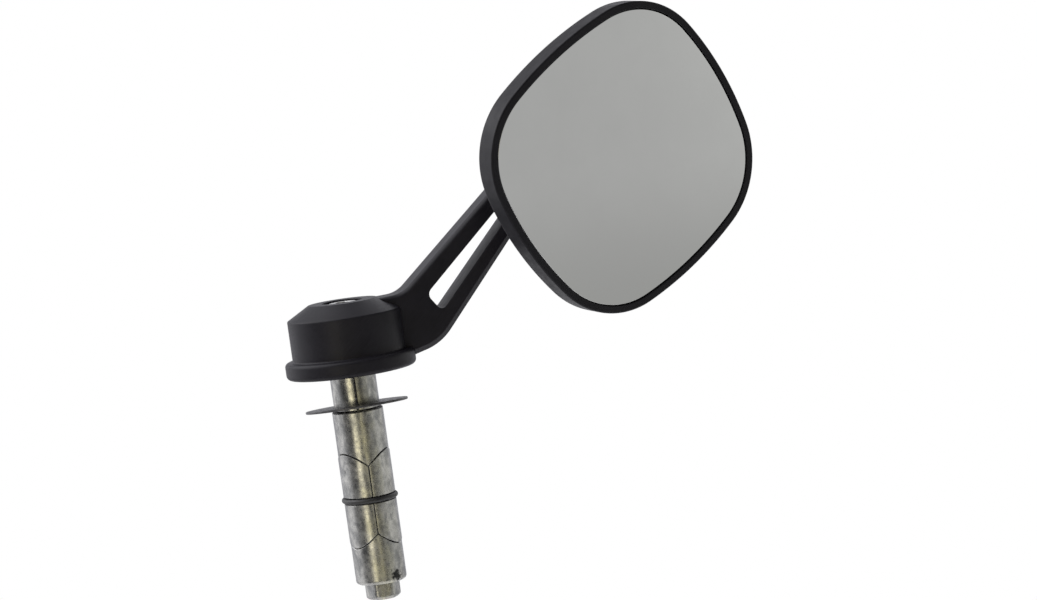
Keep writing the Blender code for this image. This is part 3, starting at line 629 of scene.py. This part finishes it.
def rubber_material():
    shade = Shade("seal_rubber", (0.012, 0.012, 0.013), 0.5)
    cloud = shade.noise(2.0 * MM, 3.0)
    shade.set("Base Color", shade.ramp(cloud, (0.009, 0.009, 0.010), (0.020, 0.020, 0.020)))
    shade.set("Roughness", shade.ramp(shade.noise(0.8 * MM, 3.0), 0.42, 0.62))
    shade.bump((shade.noise(0.25 * MM, 2.0), 0.012 * MM))
    return shade.material


def washer_material():
    shade = Shade("dark_sheet", (0.05, 0.05, 0.054), 0.4, 0.6)
    cloud = shade.noise(3.0 * MM, 4.0)
    shade.set("Base Color", shade.ramp(cloud, (0.035, 0.035, 0.038), (0.08, 0.078, 0.08)))
    shade.set("Roughness", shade.ramp(shade.noise(1.5 * MM, 3.0), 0.32, 0.5))
    shade.bump((shade.noise(0.4 * MM, 3.0), 0.01 * MM))
    return shade.material


def nylon_material():
    shade = Shade("nylon", (0.6, 0.59, 0.54), 0.45)
    shade.set("Base Color", shade.ramp(shade.noise(3.0 * MM), (0.56, 0.55, 0.50), (0.66, 0.65, 0.60)))
    shade.bump((shade.noise(0.4 * MM), 0.01 * MM))
    return shade.material


def plastic_material():
    shade = Shade("moulded_black", (0.015, 0.015, 0.015), 0.5)
    shade.set("Roughness", shade.ramp(shade.noise(1.2 * MM), 0.45, 0.6))
    shade.bump((shade.noise(0.3 * MM), 0.015 * MM))
    return shade.material


def foam_material():
    shade = Shade("foam_tape", (0.05, 0.05, 0.05), 0.9)
    cells = shade.noise(0.5 * MM, 4.0, 0.7)
    shade.set("Base Color", shade.ramp(cells, (0.03, 0.03, 0.03), (0.08, 0.08, 0.08)))
    shade.bump((cells, 0.1 * MM))
    return shade.material


def mirror_material():
    """Darkened silvering, faintly cloudy, with painted shade that makes it a little darker towards the lower end.
    """
    shade = Shade("silvered_glass", (0.66, 0.66, 0.65), 0.03, 1.0)
    cloud = shade.noise(26 * MM, 4.0, 0.6)
    clear = shade.ramp(cloud, (0.66, 0.665, 0.66), (0.68, 0.685, 0.68))
    low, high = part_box("mirror_glass")
    # Painted shade: darker towards the lower end, standing in for a dimmer reflection there.
    fade = shade.ramp(shade.axis(2), 1.0, 0.0, low.z, (low.z + high.z) / 2)
    shade.set("Base Color", shade.mix(fade, clear, (0.56, 0.565, 0.555)))
    shade.set("Roughness", shade.ramp(shade.noise(9 * MM, 4.0, 0.65), 0.015, 0.06))
    return shade.material


MATERIALS = {
    "anodised": anodised_material(),
    "cast_metal": cast_material(),
    "steel": steel_material(),
    "rubber": rubber_material(),
    "dark_washer": washer_material(),
    "nylon": nylon_material(),
    "black_plastic": plastic_material(),
    "foam": foam_material(),
    "mirror_glass": mirror_material(),
}


def finish(piece, node, material=None):
    """Give a piece its material, taken from its node's slot unless one is given, and its body, in place of a CAD
    node.
    """
    piece.data.materials.clear()
    piece.data.materials.append(material or MATERIALS[slot_of[node]])
    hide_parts(node)
    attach(piece, body_of[node])


# Cap and arm -----------------------------------------------------------------------------

def make_cap():
    flange_r = -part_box("arm_body")[0].x
    return turned("cap_with_arm", [
        (BOLT_HOLE_R, RECESS_FLOOR, 0.0),
        (RECESS_R, RECESS_FLOOR, 0.4 * MM),
        (RECESS_R, CAP_TOP, 0.35 * MM),
        (CAP_TOP_R, CAP_TOP, 0.9 * MM),
        (CAP_R, CAP_WALL_TOP, 0.7 * MM),
        (CAP_R, FLANGE_H, 0.6 * MM),
        (flange_r, FLANGE_H, FLANGE_ROUND),
        (flange_r, 0.0, FLANGE_ROUND),
        (NECK_POCKET_R, 0.0, 0.3 * MM),
        (NECK_POCKET_R, NECK_POCKET_H, 0.0),
        (BOLT_HOLE_R, NECK_POCKET_H, 0.0),
    ], steps=192, arc_steps=6)


def edge_section(width, radius, half, steps=4):
    """(inset, depth) points from a face, over a softened chamfer, to the middle of the wall."""
    lead_in = 0.6 * radius
    return fillets([
        (width + lead_in, 0.0, 0.0), (width, 0.0, radius), (0.0, width, radius), (0.0, half, 0.0),
    ], steps)


def outward_normals(outline):
    """Unit normals away from the inside of a clockwise outline."""
    count = len(outline)
    normals = []
    for i in range(count):
        tangent = (outline[(i + 1) % count] - outline[i - 1]).normalized()
        normals.append(Vector((-tangent.y, tangent.x)))
    return normals


def flare_section(radius, half, steps=6):
    """(outset, depth) points of a cutter that leaves a rounded mouth, from above the face inwards."""
    mouth = arc_points((radius, radius), radius, -TURN / 4, -TURN / 2, steps)
    return [Vector((radius, -OVERLAP))] + mouth + [Vector((0.0, half))]


def layered(name, outline, sections, half, sign):
    """A symmetric solid in the XZ plane through an outline moved in (-1) or out (+1) by sections."""
    normals = outward_normals(outline)
    rings = []
    for k in range(len(sections[0])):
        rings.append([(p + n * sign * s[k].x, s[k].y - half) for p, n, s in zip(outline, normals, sections)])
    rings += [[(p, -y) for p, y in ring] for ring in reversed(rings[:-1])]
    return skinned(name, [[(p.x, y, p.y) for p, y in ring] for ring in rings])


def arm_outline(corners, degrees_per_step=3.0):
    """The outline with its arcs, and its long straight sides left as single steps."""
    points = []
    count = len(corners)
    for i, (x, y, radius) in enumerate(corners):
        if radius <= 0.0:
            points.append(Vector((x, y)) * MM)
            continue
        before, after = corners[i - 1], corners[(i + 1) % count]
        trio = [(before[0], before[1], 0.0), (x, y, radius), (after[0], after[1], 0.0)]
        turn = (Vector(before[:2]) - Vector((x, y))).angle(Vector(after[:2]) - Vector((x, y)))
        steps = max(3, round(math.degrees(math.pi - turn) / degrees_per_step))
        points += [p * MM for p in fillets(trio, steps)[1:-1]]
    return points


def arm_edges(outline):
    """Edge width and softening at each point: soft above the arm's middle line, chamfered below."""
    root = Vector(ARM_CORNERS[0][:2]) * MM - Vector((0.0, MIDDLE_DROP))
    ball = joints["head_spin"]["pos_m"]
    along = (Vector((ball[0], ball[2])) - root).normalized()
    edges = []
    for p in outline:
        side = (p - root).cross(along) / EDGE_BLEND_W
        share = min(1.0, max(0.0, 0.5 + side))
        edges.append(tuple(u + (w - u) * share for u, w in zip(UPPER_EDGE, LOWER_EDGE)))
    return edges


def make_arm():
    arm = make_cap()
    outline = arm_outline(ARM_CORNERS)
    half = ARM_T / 2
    edges = [edge_section(width, radius, half) for width, radius in arm_edges(outline)]
    reach = layered("arm_plate", outline, edges, half, -1.0)
    slot = arm_outline(SLOT_CORNERS, degrees_per_step=6.0)
    carve(reach, layered("slot_cutter", slot, [flare_section(SLOT_ROUND, half)] * len(slot), half, 1.0))
    stud_end = local_box("ball_stud", STUD)[1].z
    carve(reach, cylinder("stud_hole", BOLT_HOLE_R, 0.0, stud_end, 64, STUD))
    carve(arm, reach, "UNION")
    finish(arm, "arm_body", arm_material())


# Plug ------------------------------------------------------------------------------------

def make_neck():
    low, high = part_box("neck_sleeve")
    radius = high.x
    bore = radius - NECK_WALL
    half = math.asin(NECK_SLIT / 2 / radius)
    section = fillets([(bore, high.z, NECK_EDGE), (radius, high.z, NECK_EDGE), (radius, low.z, NECK_EDGE),
                       (bore, low.z, NECK_EDGE)], 3, closed=True)
    steps = 144
    angles = [NECK_SLIT_AZIMUTH + half + (TURN - 2 * half) * k / steps for k in range(steps + 1)]
    neck = sweep("neck_tube", lambda angle: section, angles, joined=False)
    finish(neck, "neck_sleeve")


def make_upper_wedge():
    low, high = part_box("upper_wedge")
    slope = ramp_slope()
    apex = low.z - slope * BOLT_HOLE_R / 2
    radius = high.x

    def section(angle):
        rise = slope * math.cos(off_face(angle))
        return fillets([
            (BOLT_HOLE_R, high.z, 0.0), (radius, high.z, WEDGE_CHAMFER),
            (radius, apex + rise * radius, SEAM_ROUND), (BOLT_HOLE_R, apex + rise * BOLT_HOLE_R, 0.0),
        ], 4, closed=True)

    wedge = sweep("wedge_collar", section, whole_turn(144, seam_azimuth()))
    finish(wedge, "upper_wedge")


def make_lower_wedge():
    low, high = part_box("lower_wedge")
    slope = ramp_slope()
    apex = high.z + slope * BOLT_HOLE_R / 2
    radius = high.x
    pocket_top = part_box("draw_nut")[1].z + GAP
    pocket_r = NUT_SPIGOT_R + GAP

    def section(angle):
        fall = slope * math.cos(off_face(angle))
        return fillets([
            (BOLT_HOLE_R, apex - fall * BOLT_HOLE_R, 0.0), (radius, apex - fall * radius, SEAM_ROUND),
            (radius, low.z, PULLER_ROUND), (pocket_r, low.z, 0.2 * MM),
            (pocket_r, pocket_top, 0.0), (BOLT_HOLE_R, pocket_top, 0.0),
        ], 5, closed=True)

    wedge = sweep("wedge_puller", section, whole_turn(144, seam_azimuth()))
    finish(wedge, "lower_wedge")


def make_segments():
    slope = ramp_slope()
    face_gap = GAP * math.hypot(1.0, slope)
    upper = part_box("upper_wedge")[0].z - slope * BOLT_HOLE_R / 2 - face_gap
    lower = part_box("lower_wedge")[1].z + slope * BOLT_HOLE_R / 2 + face_gap
    ring_low, ring_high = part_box("o_ring")
    groove = (ring_low.z + ring_high.z) / 2
    for number in range(1, SEGMENT_COUNT + 1):
        node = f"plug_segment_{number}"
        radius = segment_radius(node)
        middle = segment_azimuth(number)
        half = math.pi / SEGMENT_COUNT - math.asin(GAP / 2 / radius)

        def section(angle, middle=middle, half=half, radius=radius):
            run = math.cos(angle - middle) * slope
            near = max(0.0, 1.0 - (half - abs(angle - middle)) * radius / SEAM_ROUND)
            outer = radius - SEAM_ROUND * (1 - math.sqrt(max(0.0, 1 - near * near)))
            return fillets([
                (SEGMENT_BORE_R, upper + run * SEGMENT_BORE_R, 0.0),
                (outer, upper + run * outer, SEAM_ROUND),
                (outer, groove + GROOVE_W / 2, GROOVE_ROUND),
                (GROOVE_R, groove + GROOVE_W / 2, GROOVE_ROUND),
                (GROOVE_R, groove - GROOVE_W / 2, GROOVE_ROUND),
                (outer, groove - GROOVE_W / 2, GROOVE_ROUND),
                (outer, lower - run * outer, SEAM_ROUND),
                (SEGMENT_BORE_R, lower - run * SEGMENT_BORE_R, 0.0),
            ], 4, closed=True)

        angles = segment_angles(middle, half, SEAM_ROUND / radius)
        segment = sweep(f"grip_segment_{number}", section, angles, joined=False)
        finish(segment, node)


def segment_radius(node):
    return max(math.hypot(v.co.x, v.co.y) for v in frame["nodes"][node].data.vertices)


def segment_angles(middle, half, edge):
    """Angles across a segment, closer together at both ends, where its long edges are rounded."""
    fine = (0.0, 0.12, 0.3, 0.6, 1.0)
    inner = half - edge
    count = 44
    angles = [middle - half + edge * t for t in fine]
    angles += [middle - inner + 2 * inner * k / count for k in range(1, count)]
    return angles + [middle + half - edge * t for t in reversed(fine)]


def make_seal_ring():
    low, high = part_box("o_ring")
    cord_r = (high.z - low.z) / 2
    ring_r = high.x - cord_r
    height = (high.z + low.z) / 2
    section = arc_points((ring_r, height), cord_r, 0.0, -TURN, 28)[:-1]
    ring = sweep("seal_ring", lambda angle: section, whole_turn(144))
    finish(ring, "o_ring")


def make_thin_washer():
    placed = Matrix.Rotation(-WASHER_LEAN, 4, "X")
    low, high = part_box("end_washer")
    placed.translation = Vector((0.0, 0.0, (low.z + high.z) / 2))
    washer = flat_washer("thin_washer", "end_washer", WASHER_BORE_R, edge=0.25 * MM, steps=192,
                         placed=placed, arc_steps=4)
    finish(washer, "end_washer")


def make_puller_nut():
    low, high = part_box("draw_nut")
    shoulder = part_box("lower_wedge")[0].z - GAP
    turn = seam_azimuth() + TURN / 12

    def section(angle):
        radius = hex_radius(angle - turn, NUT_AF, 0.35 * MM)
        return fillets([
            (BOLT_HOLE_R, high.z, 0.0), (NUT_SPIGOT_R, high.z, 0.2 * MM), (NUT_SPIGOT_R, shoulder, 0.0),
            (radius, shoulder, 0.3 * MM), (radius, low.z, NUT_ROUND), (BOLT_HOLE_R, low.z, 0.3 * MM),
        ], 6, closed=True)

    nut = sweep("puller_nut", section, whole_turn(180))
    finish(nut, "draw_nut")


def make_draw_bolt():
    low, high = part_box("draw_bolt")
    head_bottom = high.z - BOLT_HEAD_H
    head_r = high.x
    rim_r = head_r - 0.1 * MM
    floor_z = high.z - HEX_KEY_DEPTH

    def section(angle):
        key = hex_radius(angle, HEX_KEY_AF)
        tooth = KNURL_DEPTH * (0.5 - 0.5 * math.cos(angle * KNURL_TEETH))
        points = [(0.0, floor_z - DRILL_POINT)]
        points += fillets([(key * 0.97, floor_z, 0.0), (key, floor_z, 0.0), (key, high.z, 0.12 * MM),
                           (rim_r, high.z, 0.45 * MM), (rim_r, high.z - 0.8 * KNURL_START, 0.0)], 4)
        points += [(head_r - tooth, high.z - KNURL_START), (head_r - tooth, head_bottom + 0.2 * MM)]
        points += [(head_r - KNURL_DEPTH, head_bottom), (BOLT_R, head_bottom)]
        points += threaded(BOLT_R, THREAD_TOP, low.z + THREAD_DEPTH, angle)
        return points + [(BOLT_R - THREAD_DEPTH, low.z), (0.0, low.z)]

    bolt = sweep("socket_bolt", section, whole_turn(KNURL_TEETH * 8), closed=False)
    finish(bolt, "draw_bolt")


def make_bolt_washer():
    finish(flat_washer("bolt_flat_washer", "bolt_washer", BOLT_HOLE_R), "bolt_washer")


# Ball joint ------------------------------------------------------------------------------

def make_ball_pin():
    stud_end = local_box("ball_stud", STUD)[1].z
    arm_front = -joints["head_spin"]["pos_m"][1] - ARM_T / 2
    collar_top = arm_front - GAP
    foot = collar_top - COLLAR_T
    thread_start = collar_top + STUD_THREAD_START
    neck_start = math.acos(NECK_ROD_R / BALL_R)
    ball = arc_points((0.0, 0.0), BALL_R, neck_start, -TURN / 4, 30)[:-1] + [(0.0, -BALL_R)]

    def section(angle):
        collar = hex_radius(angle, COLLAR_AF, 0.25 * MM)
        points = [(0.0, stud_end), (BOLT_R - THREAD_DEPTH, stud_end)]
        points += threaded(BOLT_R, stud_end - THREAD_DEPTH, thread_start, angle)
        points += fillets([(BOLT_R, thread_start - MM, 0.0), (BOLT_R, collar_top, 0.1 * MM),
                           (collar, collar_top, 0.3 * MM), (collar, foot, 0.5 * MM),
                           (NECK_ROOT_R, foot, 0.0)], 4)
        points += [(NECK_ROOT_R - 0.5 * MM, foot - 0.4 * MM), (NECK_ROD_R, foot - MM)]
        return points + ball

    pin = sweep("ball_pin", section, whole_turn(96), closed=False, placed=STUD)
    finish(pin, "ball_stud")


def make_stud_washer():
    finish(flat_washer("stud_flat_washer", "stud_washer", BOLT_R + GAP, placed=STUD), "stud_washer")


def make_stud_nut():
    low, high = local_box("stud_nut", STUD)
    bore = BOLT_R + GAP
    flat = STUD_NUT_AF / 2
    slope = math.tan(math.radians(30.0))
    edge = 0.1 * MM

    def section(angle):
        radius = hex_radius(angle, STUD_NUT_AF)
        cut = (radius - flat) * slope
        return fillets([
            (bore, high.z, 0.4 * MM), (flat - edge, high.z, edge),
            (radius, high.z - cut - edge / 2, 0.0), (radius, low.z + cut + edge / 2, 0.0),
            (flat - edge, low.z, edge), (bore, low.z, 0.4 * MM),
        ], 3, closed=True)

    nut = sweep("stud_lock_nut", section, whole_turn(120), placed=STUD)
    finish(nut, "stud_nut")


def make_socket_ring():
    low, high = local_box("socket_ring", HEAD)
    flange_low = high.z - SOCKET_FLANGE_T
    mouth_r = SOCKET_CAVITY_R * math.sin(SOCKET_MOUTH)
    section = fillets([
        (SOCKET_BORE_R, high.z, 0.0), (high.x, high.z, 0.2 * MM), (high.x, flange_low, 0.5 * MM),
        (SOCKET_NECK_R, flange_low, 0.6 * MM), (SOCKET_NECK_R, low.z, 1.1 * MM), (mouth_r, low.z, 0.0),
    ])
    start = SOCKET_MOUTH - TURN / 4
    section += arc_points((0.0, 0.0), SOCKET_CAVITY_R, start, 0.02 * start, 12)
    section.append((SOCKET_BORE_R, -0.15 * MM))
    ring = sweep("ball_clamp_ring", lambda angle: section, whole_turn(160), placed=HEAD)
    finish(ring, "socket_ring")


def make_screws():
    tip = 0.3 * MM
    for number in range(1, SCREW_COUNT + 1):
        node = f"socket_screw_{number}"
        angle = TURN * (number - 1) / SCREW_COUNT
        placed = HEAD @ Matrix.Translation((
            SCREW_CIRCLE_R * math.cos(angle), SCREW_CIRCLE_R * math.sin(angle), 0.0))
        low, high = local_box(node, placed)
        head_top = low.z + SCREW_HEAD_H
        head_r = high.x
        key_end = low.z + SCREW_KEY_DEPTH

        def section(turn, low=low, high=high, head_top=head_top, head_r=head_r, key_end=key_end):
            key = hex_radius(turn, SCREW_KEY_AF)
            points = [(0.0, high.z), (SCREW_R - tip, high.z), (SCREW_R, high.z - tip)]
            points += fillets([(SCREW_R, head_top, 0.0), (head_r, head_top, 0.1 * MM),
                               (head_r, low.z, 0.45 * MM), (key, low.z, 0.06 * MM),
                               (key, key_end, 0.0)], 5)
            return points + [(0.0, key_end + 0.2 * MM)]

        screw = sweep(f"cup_screw_{number}", section, whole_turn(72), closed=False, placed=placed)
        finish(screw, node)


def make_rear_liner():
    start, end = LINER_SPAN
    section = arc_points((0.0, 0.0), LINER_OUTER_R, end, start, 10)
    section += arc_points((0.0, 0.0), LINER_INNER_R, start, end, 10)
    liner = sweep("nylon_cup", lambda angle: section, whole_turn(128), placed=HEAD)
    finish(liner, "ball_liner_rear")


# Head ------------------------------------------------------------------------------------

def quarter_outline(half_long, half_wide):
    """The glass outline's first quarter: half an end, a corner and half a side, as three arcs."""
    end_centre = Vector((half_long - END_BULGE_R, 0.0))
    side_centre = Vector((0.0, half_wide - SIDE_BULGE_R))
    meets = intersect_sphere_sphere_2d(
        end_centre, END_BULGE_R - CORNER_R, side_centre, SIDE_BULGE_R - CORNER_R)
    corner = max(meets, key=lambda point: point.x + point.y)
    to_end = corner - end_centre
    to_side = corner - side_centre
    first = math.atan2(to_end.y, to_end.x)
    last = math.atan2(to_side.y, to_side.x)
    points = arc_points(end_centre, END_BULGE_R, 0.0, first, BULGE_STEPS)[:-1]
    points += arc_points(corner, CORNER_R, first, last, CORNER_STEPS)[:-1]
    return points + arc_points(side_centre, SIDE_BULGE_R, last, TURN / 4, BULGE_STEPS)


def glass_outline(offset):
    """The glass outline grown by an offset: a square with bulging sides and round corners."""
    low, high = local_box("mirror_glass", HEAD)
    half_wide = (high.y - low.y) / 2
    quarter = quarter_outline((high.x - low.x) / 2, half_wide)
    upper = quarter[:-1] + [Vector((-p.x, p.y)) for p in reversed(quarter)]
    whole = upper[:-1] + [Vector((p.x, -p.y)) for p in reversed(upper)][:-1]
    points = [Vector((p.x / (1 - GLASS_TAPER * p.y / half_wide), p.y)) for p in whole]
    count = len(points)
    grown = []
    for i, point in enumerate(points):
        tangent = points[(i + 1) % count] - points[i - 1]
        grown.append(point + Vector((tangent.y, -tangent.x)).normalized() * offset)
    return grown


def stacked(name, section):
    """A closed solid through the glass outline grown by each (offset, height) of a section."""
    outlines = {}
    rings = []
    for offset, height in section:
        key = round(offset / MM, 5)
        if key not in outlines:
            outlines[key] = glass_outline(offset)
        rings.append([(p.x, p.y, height) for p in outlines[key]])
    return skinned(name, rings, HEAD)


def make_head_shell():
    low, high = local_box("head_housing", HEAD)
    lip_front = high.z
    back = lip_front - RIM_T
    carrier_back = local_box("glass_carrier", HEAD)[0].z
    ledge = carrier_back - GAP
    floor_z = back + FLOOR_T
    section = fillets([
        (-FACE_INSET, back, 0.0), (LIP_W, back, RIM_BACK_ROUND), (LIP_W, lip_front, RIM_FRONT_ROUND),
        (GAP, lip_front, LIP_INNER_ROUND), (GAP, ledge, 0.0), (-LEDGE_W, ledge, 0.0),
        (-LEDGE_W, floor_z, 0.0),
    ], 8)
    shell = stacked("head_shell", section)
    hub_back = low.z
    hub_front = floor_z - OVERLAP
    hub = turned("hub", [(0.0, hub_front, 0.0), (HUB_R, hub_front, 0.0), (HUB_R, hub_back, 0.5 * MM),
                         (0.0, hub_back, 0.0)], 160, closed=False, placed=HEAD)
    carve(shell, hub, "UNION")
    for radius, start in ((HUB_R - HUB_WALL, floor_z - HUB_SINK), (SOCKET_HOLE_R, hub_back - OVERLAP)):
        carve(shell, cylinder("drill", radius, start, lip_front, placed=HEAD))
    finish(shell, "head_housing")


def make_mirror_face():
    low, high = local_box("mirror_glass", HEAD)
    section = fillets([(-FACE_INSET, low.z, 0.0), (0.0, low.z, GLASS_POLISH),
                       (0.0, high.z, GLASS_POLISH), (-FACE_INSET, high.z, 0.0)], 5)
    face = stacked("mirror_face", section)
    finish(face, "mirror_glass")


# Stage -----------------------------------------------------------------------------------

def make_floor():
    floor_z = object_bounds()[0][2] - FLOOR_DROP
    bpy.ops.mesh.primitive_circle_add(
        vertices=96, radius=FLOOR_RADIUS, fill_type="NGON", location=(0.0, 0.0, floor_z))
    floor_object = bpy.context.object
    floor_object.name = "studio_floor"
    shade = Shade("studio_white", (0.9, 0.9, 0.9), 0.8)
    shade.set("Base Color", shade.ramp(shade.noise(0.5, 2.0), (0.90, 0.90, 0.90), (0.93, 0.93, 0.93)))
    floor_object.data.materials.append(shade.material)


def soft_light(nodes, links):
    """The light from each direction: an ambient level with every soft box added to it."""
    direction = nodes.new("ShaderNodeTexCoord").outputs["Generated"]
    total = None
    for where, inner, outer, colour in SOFT_BOXES:
        dot = nodes.new("ShaderNodeVectorMath")
        dot.operation = "DOT_PRODUCT"
        dot.inputs[1].default_value = Vector(where).normalized()
        links.new(direction, dot.inputs[0])
        fade = nodes.new("ShaderNodeMapRange")
        fade.interpolation_type = "SMOOTHSTEP"
        fade.inputs["From Min"].default_value = math.cos(math.radians(outer))
        fade.inputs["From Max"].default_value = math.cos(math.radians(inner))
        links.new(dot.outputs["Value"], fade.inputs["Value"])
        tint = nodes.new("ShaderNodeVectorMath")
        tint.operation = "MULTIPLY_ADD"
        tint.inputs[1].default_value = colour
        links.new(fade.outputs["Result"], tint.inputs[0])
        if total is None:
            tint.inputs[2].default_value = AMBIENT
        else:
            links.new(total, tint.inputs[2])
        total = tint.outputs[0]
    return total


def make_world():
    """A dim room with soft boxes, seen as plain white behind the object."""
    world = bpy.data.worlds.new("studio")
    bpy.context.scene.world = world
    world.use_nodes = True
    nodes, links = world.node_tree.nodes, world.node_tree.links
    nodes.clear()
    room = nodes.new("ShaderNodeBackground")
    links.new(soft_light(nodes, links), room.inputs["Color"])
    seen = nodes.new("ShaderNodeBackground")
    seen.inputs["Color"].default_value = (*BACKGROUND, 1.0)
    choice = nodes.new("ShaderNodeMixShader")
    links.new(nodes.new("ShaderNodeLightPath").outputs["Is Camera Ray"], choice.inputs[0])
    links.new(room.outputs[0], choice.inputs[1])
    links.new(seen.outputs[0], choice.inputs[2])
    links.new(choice.outputs[0], nodes.new("ShaderNodeOutputWorld").inputs["Surface"])


def make_camera():
    back = Vector((math.sin(CAMERA_AZIMUTH) * math.cos(CAMERA_ELEVATION),
                   -math.cos(CAMERA_AZIMUTH) * math.cos(CAMERA_ELEVATION),
                   math.sin(CAMERA_ELEVATION)))
    level = Vector((math.cos(CAMERA_AZIMUTH), math.sin(CAMERA_AZIMUTH), 0.0))
    upright = back.cross(level)
    right = level * math.cos(CAMERA_ROLL) - upright * math.sin(CAMERA_ROLL)
    up = upright * math.cos(CAMERA_ROLL) + level * math.sin(CAMERA_ROLL)
    placed = Matrix((right, up, back)).transposed().to_4x4()
    placed.translation = right * CAMERA_AIM[0] + up * CAMERA_AIM[1] + back * CAMERA_DISTANCE
    data = bpy.data.cameras.new("camera")
    data.lens = CAMERA_LENS
    data.sensor_width = SENSOR_WIDTH
    data.sensor_fit = "HORIZONTAL"
    data.clip_start = 0.01
    camera = bpy.data.objects.new("camera", data)
    bpy.context.scene.collection.objects.link(camera)
    camera.matrix_world = placed
    bpy.context.scene.camera = camera
    bpy.context.scene.view_settings.view_transform = "Standard"


def dress_cad_nodes():
    """Every CAD node gets the procedural material of its slot."""
    for node, obj in frame["nodes"].items():
        obj.data.materials.clear()
        obj.data.materials.append(MATERIALS[slot_of[node]])


def main():
    make_camera()
    make_world()
    make_floor()
    dress_cad_nodes()
    make_arm()
    make_neck()
    make_upper_wedge()
    make_lower_wedge()
    make_segments()
    make_seal_ring()
    make_thin_washer()
    make_puller_nut()
    make_draw_bolt()
    make_bolt_washer()
    make_ball_pin()
    make_stud_washer()
    make_stud_nut()
    make_socket_ring()
    make_screws()
    make_rear_liner()
    make_head_shell()
    make_mirror_face()


main()
